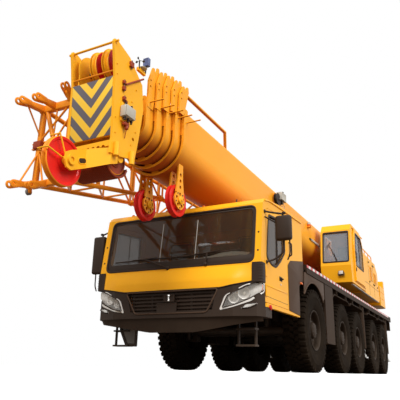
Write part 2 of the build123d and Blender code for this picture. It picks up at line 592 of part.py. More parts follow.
OP_FRONT, OP_REAR, OP_IN, OP_OUT = -1800, -3600, 640, 1430
OP_LOW, OP_TOP = 2260, 3880
OP_WALL = 40
op_outline = [
    (OP_FRONT - 60, OP_LOW), (OP_FRONT, 2700), (OP_FRONT - 170, 3700), (OP_FRONT - 330, OP_TOP),
    (-3250, OP_TOP), (OP_REAR, 3480), (OP_REAR, OP_LOW),
]
op_inner = [
    (OP_FRONT - 110, OP_LOW + OP_WALL), (OP_FRONT - 50, 2700), (OP_FRONT - 215, 3690),
    (OP_FRONT - 350, OP_TOP - OP_WALL), (-3240, OP_TOP - OP_WALL), (OP_REAR + OP_WALL, 3470),
    (OP_REAR + OP_WALL, OP_LOW + OP_WALL),
]
op_front_window = [(OP_IN + 70, 2800), (OP_OUT - 60, 2800), (OP_OUT - 60, 3640), (OP_IN + 70, 3640)]
op_door_opening = [(-3350, 2420), (-2300, 2420), (-2300, 3300), (-2420, 3720), (-3150, 3720), (-3350, 3480)]
with BuildPart() as operator_cab:
    plate_xz(op_outline, (OP_IN, OP_OUT))
    plate_xz(op_inner, (OP_IN + OP_WALL, OP_OUT - OP_WALL), mode=Mode.SUBTRACT)
    plate_yz(op_front_window, (OP_FRONT - 260, OP_FRONT + 10), mode=Mode.SUBTRACT)
    plate_xz(op_door_opening, (OP_OUT - OP_WALL - 5, OP_OUT + 5), mode=Mode.SUBTRACT)
    plate_xz([(-3200, 2900), (-2250, 2900), (-2300, 3700), (-3150, 3700)],
             (OP_IN - 5, OP_IN + OP_WALL + 5), mode=Mode.SUBTRACT)
    # step between the cab and the turntable's side plate
    box((-3400, -2100), (PLATE_IN + PLATE_T + SEAT, OP_IN + 5), (2262, 2300))
    # runners of the sliding door
    for z in (2330, 3790):
        box((OP_REAR, -2200), (OP_OUT - 5, OP_OUT + 22), (z, z + 20))
save(operator_cab, "operator_cab")

with BuildPart() as operator_door:
    door_in, door_out = OP_OUT + RUN, OP_OUT + RUN + 34
    plate_xz([(-3440, 2350 + SEAT), (-2220, 2350 + SEAT), (-2220, 3320), (-2360, 3790 - SEAT),
              (-3180, 3790 - SEAT), (-3440, 3520)], (door_in, door_out))
    plate_xz([(-3340, 2760), (-2320, 2760), (-2320, 3300), (-2430, 3690), (-3150, 3690), (-3340, 3460)],
             (door_in - 1, door_out + 1), mode=Mode.SUBTRACT)
save(operator_door, "operator_door")

with BuildPart() as operator_glazing:
    plate_xz([(OP_FRONT - 50, 2801), (OP_FRONT - 42, 2801), (OP_FRONT - 185, 3639), (OP_FRONT - 193, 3639)],
             (OP_IN + 70.3, OP_OUT - 60.3))
    plate_xz([(-3199, 2901), (-2251, 2901), (-2301, 3699), (-3149, 3699)], (OP_IN + 12, OP_IN + 20))
save(operator_glazing, "operator_glazing")

with BuildPart() as operator_seat:
    box((-3100, -2550), (790, 1290), (2750, 2880))
    box((-3230, -3090), (800, 1280), (2800, 3480))
    box((-3000, -2700), (900, 1180), (OP_LOW + OP_WALL + SEAT, 2760))
save(operator_seat, "operator_seat")

HOUSING_IN = PLATE_IN + PLATE_T + 55
with BuildPart() as housing:
    plate_xz([(-3606, 2220), (-6000, 2220), (-6100, 2330), (-5950, 3150), (-5600, 3400), (-3606, 3400)],
             (HOUSING_IN, OP_OUT))
    plate_xz([(-3100, 2220), (-6000, 2220), (-6100, 2330), (-6000, 2900), (-3100, 2900)],
             (-OP_OUT, -HOUSING_IN))
    for _, side in sides():
        for x in (-3900, -4900, -5900):
            box((x, x + 100), sorted((side * (PLATE_IN + PLATE_T + SEAT), side * (HOUSING_IN + 1))), (2260, 2420))
save(housing, "machinery_housing")


# ---------------------------------------------------------------- boom
def boom_face(grow):
    """Boom cross-section, grown all round: flat top with round corners, round bottom."""
    half_width = BOOM_HALF + grow
    top = BOOM_TOP + grow
    with BuildSketch() as face:
        with Locations((0, BOOM_CENTRE_Z)):
            Circle(half_width)
        with Locations((0, (BOOM_CENTRE_Z + top) / 2)):
            Rectangle(2 * half_width, top - BOOM_CENTRE_Z)
        fillet(face.vertices().group_by(Axis.Y)[-1], 60)
    return face.sketch


def boom_run(x, grow, mode=Mode.ADD):
    with BuildSketch(Plane.YZ.offset(x[0])) as face:
        add(boom_face(grow))
    extrude(face.sketch, amount=x[1] - x[0], mode=mode)


def boom_tube(index, fittings=None):
    """Tube of one section with its front collar, the pads that guide the next section, and lugs.

    What is welded to the outside comes as fittings, because the bore is cut last.
    """
    name, rear, front, bolts_x, tower_top = SECTIONS[index]
    grow = -BOOM_STEP * index
    boom_run((rear, front), grow)
    last = index == len(SECTIONS) - 1
    if not last:
        boom_run((front - COLLAR_LEN, front), grow + COLLAR_GROW)
    if fittings:
        add(fittings.part)
    boom_run((rear - 1, front + 1), grow - BOOM_WALL, mode=Mode.SUBTRACT)
    if last:
        return
    next_half = BOOM_HALF + grow - BOOM_STEP
    for _, side in sides():
        box((front - 90, front - 10), sorted((side * (next_half + SEAT), side * (BOOM_HALF + grow - 1))),
            (3440, 3700))
        # tower plate with its two bolts
        outer = BOOM_HALF + grow + COLLAR_GROW + 6
        foot = BOOM_TOP + grow - TOWER_FOOT
        plate_xz([(bolts_x + dx, foot + share * (tower_top - foot)) for dx, share in TOWER_OUTLINE],
                 sorted((side * outer, side * (outer - TOWER_T))))
        for z in TOWER_BOLTS:
            disc_y(bolts_x, z - index * TOWER_BOLT_DROP, BOLT_R,
                   sorted((side * (outer - 1), side * (outer + 12))))
    z, length, radius = SIDE_BAR
    y = BOOM_HALF + grow + COLLAR_GROW
    rod((front - 85, y - 5, z), (front - 85, y + length, z), radius)
    box((front - 90, front - 10), (-60, 60),
        (BOOM_CENTRE_Z - BOOM_HALF - grow + 1, BOOM_CENTRE_Z - next_half - SEAT))


with BuildPart() as base_fittings:
    for _, side in sides():
        # foot bosses on the pivot
        disc_y(PIVOT_X, PIVOT_Z, 125, sorted((side * (BOOM_HALF - 5), side * (PLATE_IN - SEAT))))
        # lift eye lugs
        plate_xz([(-1050, 2900), (-550, 2900), (-680, 2560), (-920, 2560)],
                 sorted((side * (EYE_HALF + SEAT), side * (EYE_HALF + 40))))
        # hanging roller brackets, a pierced plate on each side of the roller
        x, z, _ = ROLLER
        for plate_y in (ROLLER_Y - 75, ROLLER_Y + 50):
            near, far = sorted((side * plate_y, side * (plate_y + 25)))
            with BuildSketch(Plane.XZ.offset(-near)) as plate:
                with Locations((x, z)):
                    Circle(145)
                with BuildLine():
                    Polyline((x - 60, 3150), (x + 70, 3150), (x + 75, 2790), (x + 118, 2560), (x - 118, 2560),
                             (x - 75, 2790), close=True)
                make_face()
                with Locations((x, z + 210), (x, z + 310), (x, z + 410)):
                    Circle(28, mode=Mode.SUBTRACT)
                with Locations((x, z)):
                    with PolarLocations(98, 5, start_angle=90):
                        Circle(27, mode=Mode.SUBTRACT)
            extrude(plate.sketch, amount=-(far - near))
        disc_y(x, z, 50, sorted((side * (ROLLER_Y - 75), side * (ROLLER_Y - 45 - SEAT))))
        disc_y(x, z, 50, sorted((side * (ROLLER_Y + 45 + SEAT), side * (ROLLER_Y + 90))))
    # guard rail along the boom's top, left side, from the collar back to its foot
    rod((SECTIONS[0][2] - 20, RAIL_Y, RAIL_Z), (RAIL_REAR_X, RAIL_Y, RAIL_Z), RAIL_R)
    with Locations((RAIL_REAR_X, RAIL_Y, RAIL_Z)):
        Sphere(RAIL_R)
    foot_y = RAIL_Y - 75
    rod((RAIL_REAR_X, RAIL_Y, RAIL_Z), (RAIL_REAR_X - 180, foot_y, BOOM_TOP - 5), RAIL_R)
    box((RAIL_REAR_X - 250, RAIL_REAR_X - 110), (foot_y - 65, foot_y + 45), (BOOM_TOP - 5, BOOM_TOP + 12))

with BuildPart() as boom_base:
    boom_tube(0, base_fittings)
save(boom_base, "boom_base")

with BuildPart() as rollers:
    for _, side in sides():
        disc_y(*ROLLER, sorted((side * (ROLLER_Y - 45), side * (ROLLER_Y + 45))))
save(rollers, "boom_rollers")

for index in range(1, len(SECTIONS) - 1):
    with BuildPart() as section:
        boom_tube(index)
    save(section, SECTIONS[index][0])

head_outline = [
    (6555, 2630), (6955, 2540), (7075, 2540), (7058, 2750), (7095, 3605), (7140, 3880), (7180, 4090),
    (7165, 4130), (7100, 4140), (6810, 4050), (6485, 3790), (6425, 3425), (6495, 2940),
]


def low_sheave_rows():
    return [LOW_PITCH * (step - (LOW_COUNT - 1) / 2) for step in range(LOW_COUNT)]


# nose arms: flared from the head's side plates in to the nose sheave's hub, with a slot through each
with BuildPart() as nose_arms:
    hub_x, hub_z, sheave_r = NOSE_SHEAVE
    for _, side in sides():
        hub_in, hub_out = NOSE_Y + side * 115, NOSE_Y + side * 140
        plate_xy([(6900, side * HEAD_IN), (6900, side * (HEAD_IN + 25)), (7045, side * (HEAD_IN + 25)),
                  (7175, hub_out), (hub_x + 100, hub_out), (hub_x + 100, hub_in), (7160, hub_in),
                  (7030, side * HEAD_IN)],
                 (2200, 2700))
    plate_xz([(6900, 2450), (7030, 2400), (hub_x - 20, hub_z - 125), (hub_x + 60, hub_z - 110),
              (hub_x + 100, hub_z - 20), (hub_x + 80, hub_z + 80), (hub_x, hub_z + 130), (7150, 2600),
              (6900, 2640)], (-HEAD_IN - 100, HEAD_IN + 100), mode=Mode.INTERSECT)
    with BuildSketch(Plane.XZ.offset(-HEAD_IN - 101)) as slot:
        with Locations((7235, 2410)):
            SlotOverall(130, 50, rotation=-20)
    extrude(slot.sketch, amount=2 * HEAD_IN + 202, mode=Mode.SUBTRACT)
    # rope guard over the sheave's rim, held by the two hub bosses
    for _, side in sides():
        y = NOSE_Y + side * 75
        disc_y(hub_x, hub_z, 62, sorted((NOSE_Y + side * 60, NOSE_Y + side * 165)))
        disc_y(hub_x, hub_z, 35, sorted((NOSE_Y + side * 150, NOSE_Y + side * 166)), mode=Mode.SUBTRACT)
        for angle in GUARD_ANGLES:
            rim = (hub_x + GUARD_R * cos(radians(angle)), y, hub_z + GUARD_R * sin(radians(angle)))
            rod((hub_x, y, hub_z), rim, 10)
            with Locations(rim):
                Sphere(10)
    for angle in GUARD_ANGLES:
        x, z = hub_x + GUARD_R * cos(radians(angle)), hub_z + GUARD_R * sin(radians(angle))
        rod((x, NOSE_Y - 75, z), (x, NOSE_Y + 75, z), 10)

with BuildPart() as diaphragm:
    box((6580, 6620), (-HEAD_IN - 1, HEAD_IN + 1), (2950, 3560))

with BuildPart() as boom_head:
    boom_tube(len(SECTIONS) - 1, diaphragm)
    add(nose_arms.part)
    for _, side in sides():
        plate_xz(head_outline, sorted((side * HEAD_IN, side * (HEAD_IN + HEAD_T))))
        disc_y(TOP_SHEAVE[0], TOP_SHEAVE[1], 50, sorted((side * (TOP_SHAFT + SEAT), side * (HEAD_IN + 1))))
        disc_y(LOW_SHEAVE[0], LOW_SHEAVE[1], 60, sorted((side * (LOW_SHAFT + SEAT), side * (HEAD_IN + 1))))
        disc_y(NOSE_SHEAVE[0], NOSE_SHEAVE[1], 50, sorted((NOSE_Y + side * 45, NOSE_Y + side * 145)))
        # upright pin bosses for the jib, at the plate's foot
        for x in (6990, 6660):
            rod((x, side * (HEAD_IN + HEAD_T + 30), 2520), (x, side * (HEAD_IN + HEAD_T + 30), 2700), 38)
            box((x - 30, x + 30), sorted((side * (HEAD_IN + HEAD_T - 1), side * (HEAD_IN + HEAD_T + 30))),
                (2620, 2690))
    # front plate, with the comb bar that keeps the ropes apart under it
    plate_xz([(FRONT_PLATE_X[0] - 20, 2790), (FRONT_PLATE_X[0], 2790), (FRONT_PLATE_X[1], 3620),
              (FRONT_PLATE_X[1] - 20, 3620)], (-HEAD_IN - 1, HEAD_IN + 1))
    box(COMB_X, (-HEAD_IN - 1, HEAD_IN + 1), (2640, 2720))
    for y in low_sheave_rows():
        rod((COMB_X[0] - 1, y, 2640), (COMB_X[1] + 1, y, 2640), 26, mode=Mode.SUBTRACT)
    # guard plate beside the top sheaves, curved round them
    x, z, radius = TOP_SHEAVE
    with BuildSketch(Plane.XZ.offset(260)) as guard:
        with Locations((x, z)):
            Circle(radius - 10)
        with BuildLine():
            Polyline((x - 120, z), (x + 235, z), (FRONT_PLATE_X[1] - 5, 3500), (FRONT_PLATE_X[1] - 90, 3500),
                     close=True)
        make_face()
        with Locations((x, z)):
            Circle(46, mode=Mode.SUBTRACT)
    extrude(guard.sketch, amount=-14)
    rod((HORN_TIP[0], -HEAD_IN - 80, HORN_TIP[1]), (HORN_TIP[0], HEAD_IN + 80, HORN_TIP[1]), 16)
    disc_y(*JIB_PIN, (-HEAD_IN - HEAD_T - 1, HEAD_IN + HEAD_T + 1), mode=Mode.SUBTRACT)
save(boom_head, "boom_head")

with BuildPart() as sheaves:
    x, z, radius = TOP_SHEAVE
    for y in (0, 200):
        disc_y(x, z, radius, (y - 45, y + 45))
    disc_y(x, z, 45, (-TOP_SHAFT, TOP_SHAFT))
    x, z, radius = LOW_SHEAVE
    for y in low_sheave_rows():
        disc_y(x, z, radius, (y - 28, y + 28))
    disc_y(x, z, 50, (-LOW_SHAFT, LOW_SHAFT))
    x, z, radius = NOSE_SHEAVE
    disc_y(x, z, radius, (NOSE_Y - 44.7, NOSE_Y + 44.7))
save(sheaves, "boom_sheaves")

# ---------------------------------------------------------------- lattice jib, stowed
JIB_Y = (-1350, -700)
JIB_Z = (2960, 3650)
JIB_REAR, JIB_TAPER, JIB_TIP = -2200, 4200, 6900
JIB_STUB = 60                                   # straight stub of the front length's chords
JIB_TIP_Y = (-1450, -600)
JIB_TIP_Z = (2420, 3700)
CHORD_R, BRACE_R, FLANGE_R = 38, 22, 56
with BuildPart() as jib:
    bays = 7
    pitch = (JIB_TAPER - JIB_REAR) / bays
    # the parallel length and the tapered length meet at flanges
    for y in JIB_Y:
        for z in JIB_Z:
            rod((JIB_REAR, y, z), (JIB_TAPER - SEAT, y, z), CHORD_R)
            rod((JIB_TAPER - 25, y, z), (JIB_TAPER - SEAT, y, z), FLANGE_R)
            rod((JIB_TAPER, y, z), (JIB_TAPER + 25, y, z), FLANGE_R)
            rod((JIB_TAPER, y, z), (JIB_TAPER + JIB_STUB, y, z), CHORD_R)
    for x in (JIB_TAPER - JIB_STUB, JIB_TAPER + JIB_STUB):
        for z in JIB_Z:
            rod((x, JIB_Y[0], z), (x, JIB_Y[1], z), BRACE_R)
        for y in JIB_Y:
            rod((x, y, JIB_Z[0]), (x, y, JIB_Z[1]), BRACE_R)
    for y, tip_y in zip(JIB_Y, JIB_TIP_Y):
        for z, tip_z in zip(JIB_Z, JIB_TIP_Z):
            rod((JIB_TAPER + JIB_STUB, y, z), (JIB_TIP, tip_y, tip_z), CHORD_R)
            with Locations((JIB_TAPER + JIB_STUB, y, z)):
                Sphere(CHORD_R)
            # fork of two round-ended plates
            for fork_y in (tip_y - 45, tip_y + 25):
                box((JIB_TIP - 60, JIB_TIP + 110), (fork_y, fork_y + 20), (tip_z - 55, tip_z + 55))
                disc_y(JIB_TIP + 110, tip_z, 55, (fork_y, fork_y + 20))
                disc_y(JIB_TIP + 110, tip_z, 22, (fork_y - 1, fork_y + 21), mode=Mode.SUBTRACT)
            box((JIB_TIP - 60, JIB_TIP - 30), (tip_y - 45, tip_y + 45), (tip_z - 55, tip_z + 55))
    for step in range(bays):
        x = max(JIB_REAR + pitch * step, JIB_REAR + 40)
        for z in JIB_Z:
            rod((x, JIB_Y[0], z), (x, JIB_Y[1], z), BRACE_R)
        for y in JIB_Y:
            rod((x, y, JIB_Z[0]), (x, y, JIB_Z[1]), BRACE_R)
    for step in range(bays):
        a, b = JIB_REAR + pitch * step, JIB_REAR + pitch * (step + 1)
        a, b = max(a, JIB_REAR + 40), min(b, JIB_TAPER - JIB_STUB)
        if step % 2:
            a, b = b, a
        for y in JIB_Y:
            rod((a, y, JIB_Z[0]), (b, y, JIB_Z[1]), BRACE_R)
        for z in JIB_Z:
            rod((a, JIB_Y[0], z), (b, JIB_Y[1], z), BRACE_R)
    # end frame
    for z in JIB_TIP_Z:
        rod((JIB_TIP - 60, JIB_TIP_Y[0], z), (JIB_TIP - 60, JIB_TIP_Y[1], z), CHORD_R)
    for y in JIB_TIP_Y:
        rod((JIB_TIP - 60, y, JIB_TIP_Z[0]), (JIB_TIP - 60, y, JIB_TIP_Z[1]), CHORD_R)
    for y, tip_y in zip(JIB_Y, JIB_TIP_Y):
        rod((JIB_TAPER + JIB_STUB, y, JIB_Z[1]), (JIB_TIP - 60, tip_y, JIB_TIP_Z[0]), BRACE_R)
    middle_z = sum(JIB_TIP_Z) / 2
    rod((JIB_TIP - 60, JIB_TIP_Y[0], middle_z), (JIB_TIP - 60, JIB_TIP_Y[1], JIB_TIP_Z[0]), BRACE_R)
    rod((JIB_TIP - 60, JIB_TIP_Y[0], middle_z), (JIB_TIP - 60, JIB_TIP_Y[1], JIB_TIP_Z[1]), BRACE_R)
    # saddles on the boom's side
    for x in (-1200, 3600):
        box((x - 60, x + 60), (JIB_Y[1] - 10, -BOOM_HALF - SEAT), (3420, 3520))
        rod((x, JIB_Y[1], JIB_Z[0]), (x, JIB_Y[1], JIB_Z[1]), 30)
save(jib, "lattice_jib")
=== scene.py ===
"""Looks of the mobile crane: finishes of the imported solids, and the fine pieces fitted over them.

Metres, X forward, Y to the driver's left, Z up, the ground at Z = 0.  Each group of pieces has its
own function, and each finish too; the calls are at the end.
"""
import json
from math import cos, pi, radians, sin, sqrt

import bmesh
import bpy
from mathutils import Matrix, Vector


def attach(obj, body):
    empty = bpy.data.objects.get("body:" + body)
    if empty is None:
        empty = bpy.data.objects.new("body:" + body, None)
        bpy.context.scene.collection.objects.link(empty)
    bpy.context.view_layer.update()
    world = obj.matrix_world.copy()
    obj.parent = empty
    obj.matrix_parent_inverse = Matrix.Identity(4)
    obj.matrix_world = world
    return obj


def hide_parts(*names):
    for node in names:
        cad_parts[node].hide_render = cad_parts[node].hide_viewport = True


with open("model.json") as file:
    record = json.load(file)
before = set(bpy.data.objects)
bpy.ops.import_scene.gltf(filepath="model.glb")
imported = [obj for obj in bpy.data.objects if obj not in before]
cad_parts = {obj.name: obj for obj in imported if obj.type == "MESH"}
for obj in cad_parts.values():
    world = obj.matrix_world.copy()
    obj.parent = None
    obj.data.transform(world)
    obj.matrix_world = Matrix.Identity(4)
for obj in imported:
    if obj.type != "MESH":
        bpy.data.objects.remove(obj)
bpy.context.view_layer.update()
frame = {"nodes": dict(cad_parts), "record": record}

SCENE = bpy.context.scene
NODES = frame["nodes"]
X, Y, Z = Vector((1, 0, 0)), Vector((0, 1, 0)), Vector((0, 0, 1))
SIDES = (("left", 1), ("right", -1))

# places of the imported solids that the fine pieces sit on
TOP_SHEAVE, LOW_SHEAVE, NOSE_SHEAVE = (6.85, 3.90), (6.815, 2.56), (7.43, 2.35)  # shafts, X and Z
NOSE_Y = -0.06                                  # middle of the nose sheave
ROLLER_AT, ROLLER_Y = (5.3, 2.45), 0.28         # rope rollers under the boom
HEAD_SIDE = 0.372                               # left face of the boom head
BOOM_SIDE = 0.471                               # left face of the boom's base
CAB_SIDE = 1.4525                               # skin of the driver's cab
DOOR_SKIN = 1.449                               # skin of its doors
HOUSING_SIDE = 1.431                            # left face of the machinery housing
OPERATOR_DOOR_SIDE = 1.4705                     # outer face of the operator's door
SMALLEST_RADIUS = 0.0005                        # of turned work, where it closes on its axis

# camera, near the ground in front of the cab's left corner
CAMERA_AT = (11.701, 4.085, 0.012)
CAMERA_YAW, CAMERA_PITCH, CAMERA_ROLL = 3.62806, 0.31974, 0.021968
CAMERA_LENS = 46.16


# ---------------------------------------------------------------- camera, floor and light
def add_camera():
    """Camera near the ground, turned by its yaw, pitch and roll."""
    data = bpy.data.cameras.new("camera")
    data.lens = CAMERA_LENS
    data.sensor_width = 36
    data.clip_end = 400
    camera = bpy.data.objects.new("camera", data)
    SCENE.collection.objects.link(camera)
    way = Vector((cos(CAMERA_YAW) * cos(CAMERA_PITCH), sin(CAMERA_YAW) * cos(CAMERA_PITCH),
                  sin(CAMERA_PITCH)))
    right = way.cross(Z).normalized()
    up = right.cross(way)
    tilted_right = right * cos(CAMERA_ROLL) + up * sin(CAMERA_ROLL)
    tilted_up = up * cos(CAMERA_ROLL) - right * sin(CAMERA_ROLL)
    turn = Matrix((tilted_right, tilted_up, -way)).transposed().to_4x4()
    camera.matrix_world = Matrix.Translation(CAMERA_AT) @ turn
    SCENE.camera = camera


def add_floor():
    """Plain pale floor."""
    bpy.ops.object.select_all(action="DESELECT")
    bpy.ops.mesh.primitive_circle_add(vertices=64, radius=70, fill_type="NGON", location=(0, 0, 0))
    floor = bpy.context.object
    floor.name = "floor"
    floor.data.materials.append(floor_finish())


FILL_TONE, FILL_STRENGTH = (1.0, 0.97, 0.92, 1), 0.42
BACKGROUND_TONE, BACKGROUND_STRENGTH = (1, 1, 1, 1), 1.0
# name, towards the light, irradiance, angular size
SUNS = (("key", (0.95, 0.12, 0.95), 2.7, 25), ("side", (0.1, 1.0, 0.72), 2.45, 40))


def math_node(nodes, links, operation, *values):
    """Output of a new math node fed by sockets or plain numbers."""
    node = nodes.new("ShaderNodeMath")
    node.operation = operation
    for entry, value in zip(node.inputs, values):
        if isinstance(value, (int, float)):
            entry.default_value = value
        else:
            links.new(value, entry)
    return node.outputs[0]


def add_lights():
    """White background, a soft fill from all round, and two broad lamps."""
    world = bpy.data.worlds.new("studio")
    SCENE.world = world
    world.use_nodes = True
    nodes, links = world.node_tree.nodes, world.node_tree.links
    nodes.clear()
    path = nodes.new("ShaderNodeLightPath")
    direct = math_node(nodes, links, "MAXIMUM", path.outputs["Is Camera Ray"],
                       path.outputs["Is Transmission Ray"])
    seen = math_node(nodes, links, "MAXIMUM", direct, path.outputs["Is Glossy Ray"])
    light = nodes.new("ShaderNodeBackground")
    light.inputs["Color"].default_value = FILL_TONE
    light.inputs["Strength"].default_value = FILL_STRENGTH
    shown = nodes.new("ShaderNodeBackground")
    shown.inputs["Color"].default_value = BACKGROUND_TONE
    shown.inputs["Strength"].default_value = BACKGROUND_STRENGTH
    mix = nodes.new("ShaderNodeMixShader")
    out = nodes.new("ShaderNodeOutputWorld")
    links.new(seen, mix.inputs["Fac"])
    links.new(light.outputs[0], mix.inputs[1])
    links.new(shown.outputs[0], mix.inputs[2])
    links.new(mix.outputs[0], out.inputs["Surface"])
    for name, way, strength, spread in SUNS:
        data = bpy.data.lights.new(name, "SUN")
        data.energy = strength
        data.angle = radians(spread)
        lamp = bpy.data.objects.new(name, data)
        SCENE.collection.objects.link(lamp)
        lamp.rotation_euler = Vector(way).to_track_quat("Z", "Y").to_euler()


# ---------------------------------------------------------------- finishes
def node_group(name, inputs, outputs):
    """Empty shader node group; inputs and outputs are (name, socket type, default)."""
    group = bpy.data.node_groups.new(name, "ShaderNodeTree")
    for label, kind, default in inputs:
        socket = group.interface.new_socket(label, in_out="INPUT", socket_type=kind)
        if default is not None:
            socket.default_value = default
    for label, kind in outputs:
        group.interface.new_socket(label, in_out="OUTPUT", socket_type=kind)
    entry = group.nodes.new("NodeGroupInput")
    leave = group.nodes.new("NodeGroupOutput")
    return group, entry, leave


def mottle_group():
    """Uneven tone: a slow and a fast noise over the object, as a mask and a height."""
    group, entry, leave = node_group(
        "mottle",
        (("Slow scale", "NodeSocketFloat", 0.8), ("Fast scale", "NodeSocketFloat", 30.0)),
        (("Mask", "NodeSocketFloat"), ("Height", "NodeSocketFloat")),
    )
    nodes, links = group.nodes, group.links
    place = nodes.new("ShaderNodeTexCoord")
    slow = nodes.new("ShaderNodeTexNoise")
    slow.inputs["Detail"].default_value = 4
    fast = nodes.new("ShaderNodeTexNoise")
    fast.inputs["Detail"].default_value = 3
    links.new(place.outputs["Object"], slow.inputs["Vector"])
    links.new(place.outputs["Object"], fast.inputs["Vector"])
    links.new(entry.outputs["Slow scale"], slow.inputs["Scale"])
    links.new(entry.outputs["Fast scale"], fast.inputs["Scale"])
    slow_part = math_node(nodes, links, "MULTIPLY", slow.outputs["Fac"], 0.65)
    both = math_node(nodes, links, "MULTIPLY_ADD", fast.outputs["Fac"], 0.35, slow_part)
    links.new(both, leave.inputs["Mask"])
    links.new(fast.outputs["Fac"], leave.inputs["Height"])
    return group


def dust_group():
    """Road dust: thick near the ground, broken up by noise."""
    group, entry, leave = node_group(
        "road_dust",
        (
            ("Color", "NodeSocketColor", (0.5, 0.5, 0.5, 1)),
            ("Dust color", "NodeSocketColor", (0.11, 0.078, 0.05, 1)),
            ("Top", "NodeSocketFloat", 1.4),
            ("Amount", "NodeSocketFloat", 0.5),
        ),
        (("Color", "NodeSocketColor"), ("Mask", "NodeSocketFloat")),
    )
    nodes, links = group.nodes, group.links
    place = nodes.new("ShaderNodeTexCoord")
    split = nodes.new("ShaderNodeSeparateXYZ")
    links.new(place.outputs["Object"], split.inputs[0])
    fall = nodes.new("ShaderNodeMapRange")
    fall.inputs["From Min"].default_value = 0.0
    fall.inputs["To Min"].default_value = 1.0
    fall.inputs["To Max"].default_value = 0.0
    links.new(split.outputs["Z"], fall.inputs["Value"])
    links.new(entry.outputs["Top"], fall.inputs["From Max"])
    noise = nodes.new("ShaderNodeTexNoise")
    noise.inputs["Scale"].default_value = 3.5
    noise.inputs["Detail"].default_value = 6
    links.new(place.outputs["Object"], noise.inputs["Vector"])
    patchy = nodes.new("ShaderNodeMapRange")
    patchy.inputs["From Min"].default_value = 0.3
    patchy.inputs["From Max"].default_value = 0.75
    links.new(noise.outputs["Fac"], patchy.inputs["Value"])
    product = math_node(nodes, links, "MULTIPLY", fall.outputs[0], patchy.outputs[0])
    strength = math_node(nodes, links, "MULTIPLY", product, entry.outputs["Amount"])
    strength.node.use_clamp = True
    mix = nodes.new("ShaderNodeMix")
    mix.data_type = "RGBA"
    links.new(strength, mix.inputs["Factor"])
    links.new(entry.outputs["Color"], mix.inputs[6])
    links.new(entry.outputs["Dust color"], mix.inputs[7])
    links.new(mix.outputs[2], leave.inputs["Color"])
    links.new(strength, leave.inputs["Mask"])
    return group


MOTTLE = mottle_group()
DUST = dust_group()


class Finish:
    """A material under way: its nodes, links and shader."""

    def __init__(self, name):
        self.material = bpy.data.materials.new(name)
        self.material.use_nodes = True
        self.nodes = self.material.node_tree.nodes
        self.links = self.material.node_tree.links
        self.shader = self.nodes["Principled BSDF"]

    def add(self, kind, **values):
        """New node with its settings."""
        node = self.nodes.new(kind)
        for label, value in values.items():
            setattr(node, label, value)
        return node

    def group(self, tree, **values):
        """New group node with its inputs."""
        node = self.nodes.new("ShaderNodeGroup")
        node.node_tree = tree
        for label, value in values.items():
            node.inputs[label.replace("_", " ")].default_value = value
        return node

    def set(self, **values):
        """Plain values of the shader."""
        for label, value in values.items():
            self.shader.inputs[label.replace("_", " ")].default_value = value

    def link(self, start, end):
        """Join two sockets."""
        self.links.new(start, end)

    def tones(self, tone, other, mask):
        """Colour that goes from one tone to the other with the mask."""
        mix = self.add("ShaderNodeMix", data_type="RGBA")
        mix.inputs[6].default_value = (*tone, 1)
        mix.inputs[7].default_value = (*other, 1)
        self.links.new(mask, mix.inputs["Factor"])
        return mix.outputs[2]

    def bump(self, height, strength, distance):
        """Fine relief from a height."""
        node = self.nodes.new("ShaderNodeBump")
        node.inputs["Strength"].default_value = strength
        node.inputs["Distance"].default_value = distance
        self.links.new(height, node.inputs["Height"])
        self.links.new(node.outputs[0], self.shader.inputs["Normal"])


def painted(name, tone, shade, roughness=0.28, coat=0.35, dust=0.0, dust_top=1.2, underside_shade=None, gloss=0.12):
    """Sprayed enamel: two close tones, a fine orange-peel bump, and road dust low down.

    Given an underside tone, faces that look down take it as a painted shade, deeper and redder.
    """
    finish = Finish(name)
    finish.set(Coat_Weight=coat, Coat_Roughness=0.12, Specular_IOR_Level=gloss)
    mottle = finish.group(MOTTLE, Slow_scale=0.9, Fast_scale=22.0)
    tone_out = finish.tones(tone, shade, mottle.outputs["Mask"])
    # painted shade: faces that look down turn to the underside tone
    if underside_shade:
        facing = finish.add("ShaderNodeTexCoord")
        split = finish.add("ShaderNodeSeparateXYZ")
        finish.link(facing.outputs["Normal"], split.inputs[0])
        down = finish.add("ShaderNodeMapRange", interpolation_type="SMOOTHSTEP")
        down.inputs["From Min"].default_value = -0.15
        down.inputs["From Max"].default_value = -0.85
        finish.link(split.outputs["Z"], down.inputs["Value"])
        underside_shade_mix = finish.add("ShaderNodeMix", data_type="RGBA")
        underside_shade_mix.inputs[7].default_value = (*underside_shade, 1)
        finish.link(down.outputs[0], underside_shade_mix.inputs["Factor"])
        finish.link(tone_out, underside_shade_mix.inputs[6])
        tone_out = underside_shade_mix.outputs[2]
    dusty = finish.group(DUST, Top=dust_top, Amount=dust)
    finish.link(tone_out, dusty.inputs["Color"])
    finish.link(dusty.outputs["Color"], finish.shader.inputs["Base Color"])
    rough = finish.add("ShaderNodeMapRange")
    rough.inputs["To Min"].default_value = roughness
    rough.inputs["To Max"].default_value = 0.8
    finish.link(dusty.outputs["Mask"], rough.inputs["Value"])
    finish.link(rough.outputs[0], finish.shader.inputs["Roughness"])
    finish.bump(mottle.outputs["Height"], 0.08, 0.002)
    return finish.material


def moulded(name, tone, shade, roughness=0.5):
    """Grained moulding in two close tones, with some dust."""
    finish = Finish(name)
    grain = finish.group(MOTTLE, Slow_scale=3.0, Fast_scale=260.0)
    dusty = finish.group(DUST, Top=1.0, Amount=0.35)
    finish.link(finish.tones(tone, shade, grain.outputs["Mask"]), dusty.inputs["Color"])
    finish.link(dusty.outputs["Color"], finish.shader.inputs["Base Color"])
    finish.set(Roughness=roughness, Specular_IOR_Level=0.15)
    finish.bump(grain.outputs["Height"], 0.25, 0.001)
    return finish.material


RUBBER_TONE, RUBBER_SHADE = (0.007, 0.0045, 0.003), (0.017, 0.012, 0.008)


